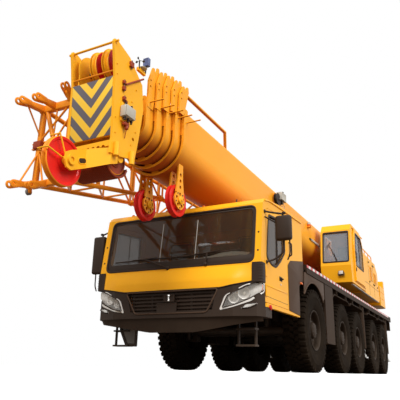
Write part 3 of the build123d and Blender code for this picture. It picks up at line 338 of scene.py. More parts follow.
def rubber(name):
    """Tyre rubber: near black, finely grained, with some dust."""
    finish = Finish(name)
    grain = finish.group(MOTTLE, Slow_scale=5.0, Fast_scale=120.0)
    dusty = finish.group(DUST, Top=1.6, Amount=0.15)
    finish.link(finish.tones(RUBBER_TONE, RUBBER_SHADE, grain.outputs["Mask"]), dusty.inputs["Color"])
    finish.link(dusty.outputs["Color"], finish.shader.inputs["Base Color"])
    finish.set(Roughness=0.85, Specular_IOR_Level=0.03)
    finish.bump(grain.outputs["Height"], 0.3, 0.002)
    return finish.material


def metal(name, tone, roughness, metallic=1.0):
    """Bare or plated metal in two close tones."""
    finish = Finish(name)
    mottle = finish.group(MOTTLE, Slow_scale=4.0, Fast_scale=90.0)
    tones = finish.tones(tone, [c * 0.6 for c in tone], mottle.outputs["Mask"])
    finish.link(tones, finish.shader.inputs["Base Color"])
    finish.set(Metallic=metallic, Roughness=roughness)
    finish.bump(mottle.outputs["Height"], 0.1, 0.001)
    return finish.material


def glass(name, tint, clear=0.8):
    """Thin pane: mostly see-through, tinted, with a sharp reflection."""
    finish = Finish(name)
    mottle = finish.group(MOTTLE, Slow_scale=1.5, Fast_scale=20.0)
    tones = finish.tones(tint, [c * 0.85 for c in tint], mottle.outputs["Mask"])
    finish.link(tones, finish.shader.inputs["Base Color"])
    finish.set(Roughness=0.02, Alpha=1 - clear, IOR=1.5)
    finish.material.surface_render_method = "BLENDED"
    return finish.material


def floor_finish():
    """Pale to the camera and dim to the machine's underside."""
    finish = Finish("floor_paint")
    nodes = finish.nodes
    finish.set(Base_Color=(0.86, 0.86, 0.86, 1), Roughness=0.9)
    dim = nodes.new("ShaderNodeBsdfDiffuse")
    dim.inputs["Color"].default_value = (0.24, 0.19, 0.15, 1)
    path = nodes.new("ShaderNodeLightPath")
    white = nodes.new("ShaderNodeEmission")
    white.inputs["Color"].default_value = (1, 1, 1, 1)
    white.inputs["Strength"].default_value = 0.25
    glow = nodes.new("ShaderNodeAddShader")
    finish.link(finish.shader.outputs[0], glow.inputs[0])
    finish.link(white.outputs[0], glow.inputs[1])
    mix = nodes.new("ShaderNodeMixShader")
    finish.link(path.outputs["Is Camera Ray"], mix.inputs["Fac"])
    finish.link(dim.outputs[0], mix.inputs[1])
    finish.link(glow.outputs[0], mix.inputs[2])
    finish.link(mix.outputs[0], nodes["Material Output"].inputs["Surface"])
    return finish.material


def stripe_group():
    """Stripes across one value: the mask is 1 on each dark stripe."""
    group, entry, leave = node_group(
        "stripes",
        (("Value", "NodeSocketFloat", 0.0), ("Start", "NodeSocketFloat", 0.0),
         ("Pitch", "NodeSocketFloat", 0.27), ("Share", "NodeSocketFloat", 0.5)),
        (("Mask", "NodeSocketFloat"),),
    )
    nodes, links = group.nodes, group.links
    past = math_node(nodes, links, "SUBTRACT", entry.outputs["Value"], entry.outputs["Start"])
    turns = math_node(nodes, links, "DIVIDE", past, entry.outputs["Pitch"])
    part = math_node(nodes, links, "FRACT", turns)
    dark = math_node(nodes, links, "LESS_THAN", part, entry.outputs["Share"])
    links.new(dark, leave.inputs["Mask"])
    return group


STRIPES = stripe_group()


def striped(name, tone, other, pitch, start, share, along="X", slope=0.0, roughness=0.35):
    """Two colours in stripes along an axis; with a slope they bend into a V about Y = 0."""
    finish = Finish(name)
    place = finish.add("ShaderNodeTexCoord")
    split = finish.add("ShaderNodeSeparateXYZ")
    finish.link(place.outputs["Object"], split.inputs[0])
    value = split.outputs[along]
    if slope:
        across = math_node(finish.nodes, finish.links, "ABSOLUTE", split.outputs["Y"])
        value = math_node(finish.nodes, finish.links, "MULTIPLY_ADD", across, -slope, value)
    stripes = finish.group(STRIPES, Start=start, Pitch=pitch, Share=share)
    finish.link(value, stripes.inputs["Value"])
    tones = finish.tones(tone, other, stripes.outputs["Mask"])
    mottle = finish.group(MOTTLE, Slow_scale=2.0, Fast_scale=40.0)
    aged = finish.add("ShaderNodeMix", data_type="RGBA", blend_type="MULTIPLY")
    aged.inputs["Factor"].default_value = 0.25
    finish.link(tones, aged.inputs[6])
    finish.link(mottle.outputs["Mask"], aged.inputs[7])
    finish.link(aged.outputs[2], finish.shader.inputs["Base Color"])
    finish.set(Roughness=roughness)
    finish.bump(mottle.outputs["Height"], 0.1, 0.001)
    return finish.material


YELLOW = painted("yellow_enamel", (0.95, 0.455, 0.016), (0.90, 0.40, 0.012), 0.36, 0.03, dust=0.05)
# the boom's enamel darkens to a painted shade, orange-brown, on faces that look down
BOOM_YELLOW = painted("boom_enamel", (0.93, 0.41, 0.022), (0.87, 0.34, 0.018), 0.36, 0.03,
                      underside_shade=(0.40, 0.085, 0.012))
HEAD_YELLOW = painted("head_enamel", (0.95, 0.47, 0.020), (0.90, 0.41, 0.015), 0.36, 0.03)
ORANGE = painted("orange_enamel", (0.90, 0.33, 0.02), (0.80, 0.25, 0.015), 0.38, 0.03)
RED = painted("red_enamel", (0.80, 0.022, 0.014), (0.68, 0.016, 0.012), 0.38, 0.1)
RUST = painted("dark_red_enamel", (0.33, 0.05, 0.014), (0.24, 0.035, 0.012), 0.45, 0.1)
CHASSIS = painted("chassis_enamel", (0.030, 0.018, 0.012), (0.046, 0.029, 0.019), 0.55, 0.0, 0.2, 1.6,
                  gloss=0.04)
DUSK = painted("dark_trim_enamel", (0.070, 0.042, 0.028), (0.083, 0.052, 0.035), 0.5, 0.0, gloss=0.05)
CREAM = painted("cream_enamel", (0.62, 0.58, 0.45), (0.55, 0.51, 0.40), 0.4, 0.1)
LAMP_BLUE = painted("blue_grey_enamel", (0.12, 0.15, 0.30), (0.09, 0.11, 0.22), 0.4, 0.1)
PALE = painted("pale_grey_enamel", (0.50, 0.47, 0.40), (0.42, 0.39, 0.33), 0.4, 0.1)
BLACK = moulded("black_moulding", (0.024, 0.014, 0.009), (0.038, 0.024, 0.016))
GREY = moulded("grey_moulding", (0.16, 0.15, 0.14), (0.22, 0.21, 0.20))
RUBBER = rubber("tyre_rubber")
RIM_PAINT = painted("rim_enamel", (0.024, 0.016, 0.011), (0.040, 0.028, 0.020), 0.5, 0.0, 0.2, 1.5,
                    gloss=0.05)
STEEL = metal("cast_steel", (0.10, 0.08, 0.065), 0.55, 0.4)
WIRE = metal("wire_rope", (0.22, 0.20, 0.18), 0.45, 0.8)
CHROME = metal("hard_chrome", (0.8, 0.78, 0.74), 0.25, 0.7)
SILVER = metal("silvered_trim", (0.82, 0.78, 0.72), 0.35, 0.3)
MIRROR_GLASS = metal("mirror_silvering", (0.8, 0.82, 0.85), 0.04)
WINDOW = glass("window_glass", (0.060, 0.042, 0.028), 0.60)
SIDE_GLASS = glass("side_window_glass", (0.075, 0.058, 0.045), 0.38)
CAB_GLASS = glass("cab_glass", (0.35, 0.40, 0.45), 0.62)
LENS = glass("clear_lens", (0.95, 0.92, 0.86), 0.86)
AMBER = moulded("amber_lens", (0.75, 0.16, 0.02), (0.6, 0.10, 0.015), 0.15)
RED_LENS = moulded("red_lens", (0.55, 0.02, 0.015), (0.45, 0.015, 0.01), 0.15)
FABRIC = moulded("seat_cloth", (0.05, 0.045, 0.045), (0.08, 0.07, 0.07), 0.85)
CHEVRON = striped("chevron_paint", (1.0, 0.60, 0.02), (0.105, 0.085, 0.10), 0.276, 2.947, 0.5, "Z", 1.147)
SAFETY = striped("reflective_tape", (0.80, 0.76, 0.72), (0.60, 0.02, 0.02), 0.27, 0.0, 0.5)

SLOT_FINISH = {
    "yellow_paint": YELLOW,
    "orange_paint": ORANGE,
    "red_paint": RED,
    "chassis_paint": CHASSIS,
    "black_plastic": BLACK,
    "tyre_rubber": RUBBER,
    "cast_steel": STEEL,
    "chromed_rod": CHROME,
    "window_glass": WINDOW,
    "lamp_lens": LENS,
    "seat_fabric": FABRIC,
    "dash_plastic": GREY,
}
NODE_FINISH = {
    "boom_base": BOOM_YELLOW,
    "boom_section_2": BOOM_YELLOW,
    "boom_section_3": BOOM_YELLOW,
    "boom_section_4": BOOM_YELLOW,
    "boom_section_5": BOOM_YELLOW,
    "boom_head": HEAD_YELLOW,
    "operator_glazing": CAB_GLASS,
    "door_glass_left": SIDE_GLASS,
    "door_glass_right": SIDE_GLASS,
}


def dress_solids():
    """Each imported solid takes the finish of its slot, or its own."""
    for row in frame["record"]["subparts"]:
        mesh = NODES[row["node"]].data
        mesh.materials.clear()
        mesh.materials.append(NODE_FINISH.get(row["node"]) or SLOT_FINISH[row["material_slot"]])


# ---------------------------------------------------------------- modelling steps
def deselect():
    """Leave nothing selected."""
    bpy.ops.object.select_all(action="DESELECT")


def active(piece):
    """Select this piece alone and make it the active one."""
    deselect()
    piece.select_set(True)
    bpy.context.view_layer.objects.active = piece
    return piece


def name_it(piece, name, *finishes):
    """Name the piece and its mesh, and give it its finishes."""
    piece.name = piece.data.name = name
    piece.data.materials.clear()
    for finish in finishes:
        piece.data.materials.append(finish)
    return piece


def smooth(piece, angle=35):
    """Shade smooth, with edges over the angle kept sharp."""
    active(piece)
    bpy.ops.object.shade_smooth_by_angle(angle=radians(angle))
    return piece


def close_up(piece):
    """Merge doubles and turn the faces outwards."""
    active(piece)
    bpy.ops.object.mode_set(mode="EDIT")
    bpy.ops.mesh.select_all(action="SELECT")
    bpy.ops.mesh.remove_doubles(threshold=0.0001)
    bpy.ops.mesh.normals_make_consistent(inside=False)
    bpy.ops.object.mode_set(mode="OBJECT")
    return piece


def bevelled(piece, width, segments=2):
    """Round the sharp edges."""
    active(piece)
    edge = piece.modifiers.new("rounding", "BEVEL")
    edge.width = width
    edge.segments = segments
    edge.limit_method = "ANGLE"
    edge.angle_limit = radians(40)
    bpy.ops.object.modifier_apply(modifier=edge.name)
    return piece


def block(name, x, y, z, finish, bevel=0.008, segments=2, inset=0.0, depth=0.0):
    """Rounded block from (low, high) pairs; inset and depth sink a panel into its largest faces."""
    deselect()
    size = (abs(x[1] - x[0]), abs(y[1] - y[0]), abs(z[1] - z[0]))
    bpy.ops.mesh.primitive_cube_add(size=1, location=(sum(x) / 2, sum(y) / 2, sum(z) / 2), scale=size)
    piece = name_it(bpy.context.object, name, finish)
    bpy.ops.object.transform_apply(location=True, rotation=False, scale=True)
    if inset:
        flat = size.index(min(size))
        for face in piece.data.polygons:
            face.select = abs(face.normal[flat]) > 0.9
        bpy.ops.object.mode_set(mode="EDIT")
        bpy.ops.mesh.select_mode(type="FACE")
        bpy.ops.mesh.inset(thickness=inset, depth=0)
        bpy.ops.mesh.inset(thickness=abs(depth), depth=-depth)
        bpy.ops.object.mode_set(mode="OBJECT")
    if bevel:
        bevelled(piece, bevel, segments)
    return smooth(piece)


def turned(name, stations, at, way, finish, steps=32, ring=False, bands=()):
    """Lathe work: stations are (radius, along); bands are (first, last station, finish)."""
    deselect()
    radius, along = stations[0]
    bpy.ops.mesh.primitive_circle_add(vertices=steps, radius=max(radius, SMALLEST_RADIUS),
                                      location=(0, 0, along))
    piece = name_it(bpy.context.object, name, finish, *[band[2] for band in bands])
    bpy.ops.object.transform_apply(location=True)
    bpy.ops.object.mode_set(mode="EDIT")
    bpy.ops.mesh.select_all(action="SELECT")
    path = list(stations[1:]) + ([stations[0]] if ring else [])
    for next_radius, next_along in path:
        bpy.ops.mesh.extrude_edges_move(TRANSFORM_OT_translate={"value": (0, 0, next_along - along)})
        ratio = max(next_radius, SMALLEST_RADIUS) / max(radius, SMALLEST_RADIUS)
        bpy.ops.transform.resize(value=(ratio, ratio, 1), center_override=(0, 0, next_along))
        radius, along = next_radius, next_along
    bpy.ops.object.mode_set(mode="OBJECT")
    for number, (first, last, _) in enumerate(bands, start=1):
        for face in piece.data.polygons:
            if first * steps <= face.index < last * steps:
                face.material_index = number
    close_up(piece)
    if not ring:
        bpy.ops.object.mode_set(mode="EDIT")
        bpy.ops.mesh.select_all(action="SELECT")
        bpy.ops.mesh.fill_holes(sides=0)
        bpy.ops.mesh.normals_make_consistent(inside=False)
        bpy.ops.object.mode_set(mode="OBJECT")
    lay(piece, at, way)
    return smooth(piece)


def lay(piece, at, way=(0, 0, 1)):
    """Turn a piece made along Z to a direction and put it in its place."""
    piece.data.transform(Matrix.Translation(at) @ Vector(way).to_track_quat("Z", "Y").to_matrix().to_4x4())
    piece.data.update()
    return piece


def rounded(points, radius, steps=4):
    """Outline with its corners rounded."""
    result = []
    count = len(points)
    for number, corner in enumerate(points):
        corner = Vector(corner)
        back = Vector(points[number - 1]) - corner
        ahead = Vector(points[(number + 1) % count]) - corner
        reach = min(radius, back.length * 0.45, ahead.length * 0.45)
        start, end = corner + back.normalized() * reach, corner + ahead.normalized() * reach
        for step in range(steps + 1):
            t = step / steps
            result.append(start * (1 - t) ** 2 + corner * 2 * t * (1 - t) + end * t ** 2)
    return result


def panel(name, outline, finish, thick, at=(0, 0, 0), u=Y, v=Z, bevel=0.003, holes=()):
    """Plate with rounded edges: outline and holes lie in the u, v plane through at."""
    curve = bpy.data.curves.new(name, "CURVE")
    curve.dimensions = "2D"
    curve.fill_mode = "BOTH"
    curve.bevel_depth = bevel
    curve.bevel_resolution = 1
    curve.offset = -bevel
    curve.extrude = max(thick / 2 - bevel, 0.0005)
    for loop in (outline, *holes):
        spline = curve.splines.new("POLY")
        spline.points.add(len(loop) - 1)
        for point, place in zip(spline.points, loop):
            point.co = (place[0], place[1], 0, 1)
        spline.use_cyclic_u = True
    piece = bpy.data.objects.new(name, curve)
    SCENE.collection.objects.link(piece)
    active(piece)
    bpy.ops.object.convert(target="MESH")
    piece = name_it(bpy.context.object, name, finish)
    u, v = Vector(u).normalized(), Vector(v).normalized()
    turn = Matrix((u, v, u.cross(v))).transposed().to_4x4()
    piece.data.transform(Matrix.Translation(at) @ turn)
    close_up(piece)
    return smooth(piece)


def pipe(name, points, radius, finish, bend=0.0, closed=False, sides=3):
    """Bent tube or rod through the points."""
    curve = bpy.data.curves.new(name, "CURVE")
    curve.dimensions = "3D"
    curve.bevel_depth = radius
    curve.bevel_resolution = sides
    curve.use_fill_caps = True
    if bend:
        inner = [Vector(p) for p in points]
        path = rounded(inner, bend) if closed else [inner[0]] + rounded(inner, bend)[5:-5] + [inner[-1]]
    else:
        path = [Vector(p) for p in points]
    spline = curve.splines.new("POLY")
    spline.points.add(len(path) - 1)
    for point, place in zip(spline.points, path):
        point.co = (*place, 1)
    spline.use_cyclic_u = closed
    piece = bpy.data.objects.new(name, curve)
    SCENE.collection.objects.link(piece)
    active(piece)
    bpy.ops.object.convert(target="MESH")
    piece = name_it(bpy.context.object, name, finish)
    close_up(piece)
    return smooth(piece, 50)


def joined(name, pieces):
    """One piece from several."""
    deselect()
    for piece in pieces:
        piece.select_set(True)
    bpy.context.view_layer.objects.active = pieces[0]
    if len(pieces) > 1:
        bpy.ops.object.join()
    piece = bpy.context.object
    piece.name = piece.data.name = name
    return piece


def again(piece, name, matrix):
    """Another of the same piece, at a new place."""
    twin = piece.copy()
    twin.data = piece.data.copy()
    twin.name = twin.data.name = name
    SCENE.collection.objects.link(twin)
    twin.data.transform(matrix)
    if matrix.determinant() < 0:
        twin.data.flip_normals()
    twin.data.update()
    return twin


def shifted(piece, name, x=0.0, y=0.0, z=0.0):
    """Another of the same piece, moved only."""
    return again(piece, name, Matrix.Translation((x, y, z)))


MIRROR = Matrix.Scale(-1, 4, Y)


def fitted(piece, body, slot, *nodes):
    """The piece moves with its body, and stands for the nodes named."""
    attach(piece, body)
    if nodes:
        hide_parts(*nodes)
    return piece


def bolts(name, places, way, size, finish):
    """Hexagon heads on washers, modelled once and copied to each place."""
    head = turned(
        "bolt", [(size * 1.15, -0.002), (size * 1.15, size * 0.16), (size * 0.9, size * 0.18),
                 (size * 0.9, size * 0.7), (size * 0.72, size * 0.82)],
        (0, 0, 0), way, finish, steps=6)
    heads = [shifted(head, "bolt", *place) for place in places]
    bpy.data.objects.remove(head)
    return joined(name, heads)


# ---------------------------------------------------------------- wheels
AXLE_X = (2.1, -0.2, -1.85, -4.05, -5.7)
TYRE_R, TRACK_HALF = 0.7465, 1.285
LUG_ROWS, LUG_DEPTH = 40, 0.024
SHOULDER_Y = 0.18                               # beyond it a lug runs over the shoulder
NUTS, NUT_RING, HUB_BOLTS, HUB_RING = 18, 0.222, 10, 0.118
ROLL_STEP = 0.21                                # each axle's wheels are rolled on by this


def on_circle(count, radius, y):
    """Places round a circle about Y."""
    turn = [step * 2 * pi / count for step in range(count)]
    return [(radius * cos(angle), y, radius * sin(angle)) for angle in turn]


def wheel():
    """Tyre with its lugs on a dished rim, at the origin and turned along Y."""
    base = TYRE_R - LUG_DEPTH
    tyre = turned("tyre", [
        (0.346, 0.158), (0.372, 0.176), (0.400, 0.186), (0.408, 0.192), (0.416, 0.189), (0.470, 0.206),
        (0.540, 0.214), (0.600, 0.212), (0.606, 0.215), (0.616, 0.213), (0.648, 0.206), (0.690, 0.199),
        (base - 0.012, 0.186), (base, 0.160), (base, 0.045), (base - 0.008, 0.038), (base - 0.008, -0.038),
        (base, -0.045), (base, -0.160), (base - 0.012, -0.186), (0.690, -0.199), (0.648, -0.206),
        (0.600, -0.212), (0.540, -0.214), (0.470, -0.206), (0.400, -0.188), (0.346, -0.158),
    ], (0, 0, 0), Y, RUBBER, 56, ring=True)
    pitch = 2 * pi / LUG_ROWS
    pieces = [tyre]
    # rows of lugs: middle across the tread, half length, half width, lead round the tyre, lean
    for across, half_y, half_x, lead, lean in (
        (0.142, 0.062, 0.036, 0.0, 0.12), (-0.142, 0.062, 0.036, 0.5, -0.12),
        (0.038, 0.034, 0.042, 0.35, -0.35), (-0.038, 0.034, 0.042, 0.85, 0.35),
    ):
        deselect()
        bpy.ops.mesh.primitive_cube_add(size=1, location=(0, across, TYRE_R - 0.02),
                                        scale=(2 * half_x, 2 * half_y, 0.038))
        lug = name_it(bpy.context.object, "lug", RUBBER)
        bpy.ops.object.transform_apply()
        for vertex in lug.data.vertices:
            vertex.co.x += (vertex.co.y - across) * lean
            if vertex.co.z > TYRE_R - 0.01:
                vertex.co.x *= 0.86
                drop = 0.006 if abs(vertex.co.y) > SHOULDER_Y else 0
                vertex.co.z = sqrt(TYRE_R ** 2 - vertex.co.x ** 2) - drop
        if abs(across) > 0.1:
            # the shoulder end runs down the sidewall
            for vertex in lug.data.vertices:
                if abs(vertex.co.y) <= SHOULDER_Y:
                    continue
                if vertex.co.z > TYRE_R - 0.02:
                    vertex.co.y *= 0.97
                else:
                    vertex.co.z -= 0.035
        for step in range(LUG_ROWS):
            turn = Matrix.Rotation((step + lead) * pitch, 4, Y)
            pieces.append(again(lug, "lug", turn))
        bpy.data.objects.remove(lug)
    rim = turned("rim", [
        (0.001, 0.176), (0.030, 0.178), (0.092, 0.178), (0.100, 0.174), (0.132, 0.168), (0.146, 0.150),
        (0.150, 0.110), (0.172, 0.104), (0.176, 0.086), (0.205, 0.082), (0.240, 0.070), (0.262, 0.062),
        (0.300, 0.066), (0.320, 0.080), (0.326, 0.120), (0.330, 0.160), (0.338, 0.180), (0.348, 0.187),
        (0.360, 0.187), (0.364, 0.182), (0.360, 0.175), (0.345, 0.170), (0.345, -0.170), (0.335, -0.172),
        (0.327, -0.165), (0.325, 0.008), (0.240, 0.036), (0.165, 0.030), (0.001, 0.006),
    ], (0, 0, 0), Y, RIM_PAINT, 48)
    pieces += [rim, bolts("nuts", on_circle(NUTS, NUT_RING, 0.077), Y, 0.017, STEEL),
               bolts("hub_bolts", on_circle(HUB_BOLTS, HUB_RING, 0.170), Y, 0.009, STEEL)]
    pieces.append(pipe("valve", [(0.29, 0.07, 0.05), (0.305, 0.12, 0.055), (0.318, 0.15, 0.06)], 0.006,
                       CHROME, sides=1))
    return joined("wheel", pieces)


def add_wheels():
    """Ten road wheels from one pattern, each rolled on a little."""
    pattern = wheel()
    for number, axle_x in enumerate(AXLE_X, start=1):
        for side_name, side in SIDES:
            place = Matrix.Translation((axle_x, side * TRACK_HALF, TYRE_R))
            roll = Matrix.Rotation(ROLL_STEP * number, 4, Y)
            twin = again(pattern, f"road_wheel_{number}_{side_name}",
                         place @ (MIRROR if side < 0 else Matrix.Identity(4)) @ roll)
            node = f"wheel_{number}_{side_name}"
            fitted(twin, node, "tyre_rubber", node)
    bpy.data.objects.remove(pattern)


# ---------------------------------------------------------------- boom head
def sheave(name, x, y, z, radius, half, web, rim, bore=0.05):
    """Grooved rope sheave with a dished web, turned along Y."""
    depth = 0.045
    stations = [
        (bore, -half * 0.9), (bore + 0.05, -half * 0.9), (bore + 0.055, -half * 0.45),
        (radius * 0.84, -half * 0.55), (radius * 0.87, -half * 0.9), (radius - 0.010, -half),
        (radius, -half * 0.8), (radius - depth, -half * 0.3), (radius - depth - 0.004, 0),
        (radius - depth, half * 0.3), (radius, half * 0.8), (radius - 0.010, half),
        (radius * 0.87, half * 0.9), (radius * 0.84, half * 0.55),
        (bore + 0.055, half * 0.45), (bore + 0.05, half * 0.9), (bore, half * 0.9),
    ]
    return turned(name, stations, (x, y, z), Y, web, 56, ring=True, bands=((5, 11, rim),))


def add_head_sheaves():
    """Top, lower and nose sheaves of the boom head."""
    x, z = TOP_SHEAVE
    pieces = []
    for y in (0.0, 0.2):
        pieces.append(sheave("top_sheave", x, y, z, 0.27, 0.04, RED, HEAD_YELLOW))
        # pressed guard plate beside the sheave
        pieces.append(turned("guard", [
            (0.06, 0.0), (0.275, 0.002), (0.283, 0.006), (0.283, 0.012), (0.06, 0.010),
        ], (x, y - 0.064, z), Y, HEAD_YELLOW, 48, ring=True))
    pieces.append(turned("top_shaft", [(0.045, -0.29), (0.045, 0.29)], (x, 0, z), Y, STEEL, 24))
    x, z = LOW_SHEAVE
    low = sheave("low_sheave", x, 0, z, 0.205, 0.026, RUST, ORANGE, 0.055)
    for step in range(7):
        pieces.append(shifted(low, "low_sheave", y=0.08 * (step - 3)))
    bpy.data.objects.remove(low)
    pieces.append(turned("low_shaft", [(0.05, -0.3), (0.05, 0.3)], (x, 0, z), Y, STEEL, 24))
    x, z = NOSE_SHEAVE
    pieces.append(sheave("nose_sheave", x, NOSE_Y, z, 0.31, 0.0445, RED, ORANGE, 0.05))
    head = joined("head_sheaves", pieces)
    fitted(head, "section_6", "red_paint", "boom_sheaves")


def add_rollers():
    """Rope rollers under the boom, with the caps and bolts of their brackets."""
    pieces = []
    x, z = ROLLER_AT
    for side in (1, -1):
        y = side * ROLLER_Y
        pieces.append(turned("roller", [
            (0.05, -0.04), (0.11, -0.04), (0.118, -0.022), (0.185, -0.022), (0.195, -0.042), (0.246, -0.044),
            (0.25, -0.036), (0.232, -0.012), (0.232, 0.012), (0.25, 0.036), (0.246, 0.044), (0.195, 0.042),
            (0.185, 0.022), (0.118, 0.022), (0.11, 0.04), (0.05, 0.04),
        ], (x, y, z), Y, RED, 48, ring=True, bands=((0, 3, STEEL),)))
    fitted(joined("rope_rollers", pieces), "boom", "red_paint", "boom_rollers")
    pieces = []
    for side in (1, -1):
        for way in (1, -1):
            y = side * ROLLER_Y + way * 0.091
            pieces.append(turned("cap", [(0.06, 0), (0.06, 0.006), (0.05, 0.014), (0.022, 0.016),
                                         (0.02, 0.03), (0.001, 0.03)], (x, y, z), Y * way, HEAD_YELLOW, 24))
            heads = [(x + 0.12 * cos(a), y - way * 0.014, z + 0.12 * sin(a)) for a in
                     (0.94, 2.2, 3.46, 4.71, 5.97)]
            pieces.append(bolts("cap_bolts", heads, Y * way, 0.011, STEEL))
    fitted(joined("roller_caps", pieces), "boom", "yellow_paint")


def add_head_trim():
    """Striped plate, junction box, lugs, bolts, wind meter and rope keepers of the boom head."""
    # striped plate on the head's front
    run = Vector((7.094 - 7.045, 0, 3.62 - 2.79))
    plate = panel("striped_plate", [(-0.333, 0.004), (0.333, 0.004), (0.333, run.length - 0.004),
                                    (-0.333, run.length - 0.004)], CHEVRON, 0.006, (7.0495, 0, 2.79), Y, run,
                  0.002)
    fitted(plate, "section_6", "yellow_paint")
    # junction box with its cable glands on the left plate
    y = HEAD_SIDE
    box = block("junction_box", (6.735, 6.955), (y, y + 0.10), (3.085, 3.255), PALE, 0.010, 2, 0.012, 0.006)
    lid = block("junction_lid", (6.745, 6.945), (y + 0.096, y + 0.108), (3.095, 3.245), PALE, 0.004)
    foot = block("junction_foot", (6.76, 6.93), (y - 0.004, y + 0.02), (3.04, 3.30), HEAD_YELLOW, 0.004)
    pieces = [box, lid, foot]
    for x, z, up in ((6.78, 3.255, 1), (6.91, 3.255, 1), (6.77, 3.085, -1), (6.84, 3.085, -1),
                     (6.92, 3.085, -1)):
        pieces.append(turned("gland", [(0.020, 0), (0.020, 0.018), (0.014, 0.024), (0.014, 0.045),
                                       (0.006, 0.05)], (x, y + 0.06, z), Z * up, BLACK, 12))
    pieces.append(block("junction_valve", (6.80, 6.90), (y + 0.01, y + 0.06), (2.985, 3.035), RUST, 0.01))
    pieces.append(turned("junction_cap", [(0.024, 0), (0.026, 0.01), (0.024, 0.04), (0.012, 0.05)],
                         (6.84, y + 0.045, 2.985), -Z, RUST, 16))
    pieces.append(pipe("drain", [(6.84, y + 0.045, 2.94), (6.84, y + 0.03, 2.88), (6.82, y + 0.01, 2.83)],
                       0.006, RUST, sides=1))
    fitted(joined("junction_box", pieces), "section_6", "yellow_paint")
    # lugs with their pins, a stay rod and bolts down the plate
    pieces = []
    for x, z, size in ((6.93, 3.60, 0.030), (6.925, 3.51, 0.034), (6.905, 3.37, 0.032), (6.86, 3.335, 0.022),
                       (6.80, 3.945, 0.05)):
        pieces.append(block("lug", (x - size, x + size * 0.4), (y - 0.003, y + 0.035),
                            (z - size * 0.8, z + size * 0.8), RUST, 0.006, inset=0.006, depth=0.004))
        pieces.append(pipe("lug_pin", [(x - size * 0.3, y + 0.02, z - size * 1.3),
                                       (x - size * 0.3, y + 0.02, z + size * 1.3)], 0.008, STEEL, sides=1))
    pieces.append(pipe("lug_rod", [(6.50, y + 0.02, 3.875), (6.70, y + 0.02, 3.725), (6.89, y + 0.02, 3.58)],
                       0.014, RUST))
    fitted(joined("plate_lugs", pieces), "section_6", "yellow_paint")
    places = [(6.62, y, 3.64), (6.70, y, 3.42), (7.06, y, 3.66), (7.08, y, 3.80), (6.60, y, 3.22),
              (6.58, y, 3.02), (6.66, y, 2.80), (7.01, y, 2.84), (7.03, y, 3.05), (6.82, y, 3.92)]
    fitted(bolts("plate_bolts", places, Y, 0.012, HEAD_YELLOW), "section_6", "yellow_paint")
    # wind meter and lamp on the head's top, behind the sheaves
    pieces = [
        block("meter_arm", (6.42, 6.60), (0.330, 0.372), (3.98, 4.035), HEAD_YELLOW, 0.006, inset=0.008,
              depth=0.003),
        pipe("meter_post", [(6.59, 0.37, 4.01), (6.59, 0.37, 4.13)], 0.010, BLACK),
        block("lamp_body", (6.39, 6.45), (0.33, 0.42), (4.13, 4.26), LAMP_BLUE, 0.012, inset=0.012,
              depth=0.005),
        pipe("lamp_post", [(6.43, 0.37, 4.02), (6.42, 0.37, 4.15)], 0.010, BLACK),
        turned("meter_disc", [(0.001, 0), (0.055, 0.002), (0.062, 0.012), (0.04, 0.03), (0.001, 0.032)],
               (6.50, 0.372, 4.045), Z, PALE, 20),
    ]
    for angle in (0.3, 2.4, 4.5):
        tip = (6.59 + 0.06 * cos(angle), 0.37 + 0.06 * sin(angle), 4.135)
        pieces.append(pipe("meter_spoke", [(6.59, 0.37, 4.135), tip], 0.004, BLACK, sides=1))
        pieces.append(turned("meter_cup", [(0.001, -0.016), (0.016, -0.008), (0.02, 0.004), (0.017, 0.004)],
                             tip, (-sin(angle), cos(angle), 0), BLACK, 12))
    fitted(joined("wind_meter", pieces), "section_6", "black_plastic")
    # rope keeper rods before and behind the top sheaves
    pieces = [pipe("keeper", [(7.09, -0.34, 3.70), (7.09, 0.34, 3.70)], 0.012, ORANGE),
              pipe("keeper", [(6.60, -0.30, 4.03), (6.60, 0.30, 4.03)], 0.012, ORANGE)]
    fitted(joined("rope_keepers", pieces), "section_6", "yellow_paint")


# ---------------------------------------------------------------- driver's cab
def sheet(name, rows, finish, thick=0.008):
    """Curved panel from rows of points, thickened inwards."""
    mesh = bpy.data.meshes.new(name)
    form = bmesh.new()
    grid = [[form.verts.new(point) for point in row] for row in rows]
    for low, high in zip(grid, grid[1:]):
        for number in range(len(low) - 1):
            form.faces.new((low[number], low[number + 1], high[number + 1], high[number]))
    form.to_mesh(mesh)
    form.free()
    piece = bpy.data.objects.new(name, mesh)
    SCENE.collection.objects.link(piece)
    name_it(piece, name, finish)
    active(piece)
    wall = piece.modifiers.new("wall", "SOLIDIFY")
    wall.thickness = thick
    wall.offset = 0
    bpy.ops.object.modifier_apply(modifier=wall.name)
    close_up(piece)
    return smooth(piece)


BUMPER_X, BUMPER_FLAT = 4.89, 1.05              # its front, and half the flat width
BUMPER_BEND = 1.38                              # where it turns towards the side


def bumper_x(y):
    """Front of the bumper at a place across it."""
    y = abs(y)
    if y <= BUMPER_FLAT:
        return BUMPER_X
    if y <= BUMPER_BEND:
        return BUMPER_X - 0.09 * (y - BUMPER_FLAT) / 0.33
    return 4.80 - 0.15 * (y - BUMPER_BEND) / 0.08


SCREEN_X, SCREEN_Z = 4.7275, 1.985              # middle of the windscreen
SCREEN_BACK, SCREEN_RISE = 0.135, 0.970         # how it leans back as it rises
SCREEN_AT = Vector((SCREEN_X, 0, SCREEN_Z))
SCREEN_UP = Vector((-SCREEN_BACK, 0, SCREEN_RISE)).normalized()
SCREEN_OUT = Vector((SCREEN_RISE, 0, SCREEN_BACK)).normalized()


def on_screen(y, up, out=0.0):
    """Place on the leaning windscreen: across, up it and out from it."""
    return SCREEN_AT + Y * y + SCREEN_UP * up + SCREEN_OUT * out


def frame_outline(half, low, high, radius):
    """Upright frame with round corners."""
    return rounded([(-half, low), (half, low), (half, high), (-half, high)], radius, 6)


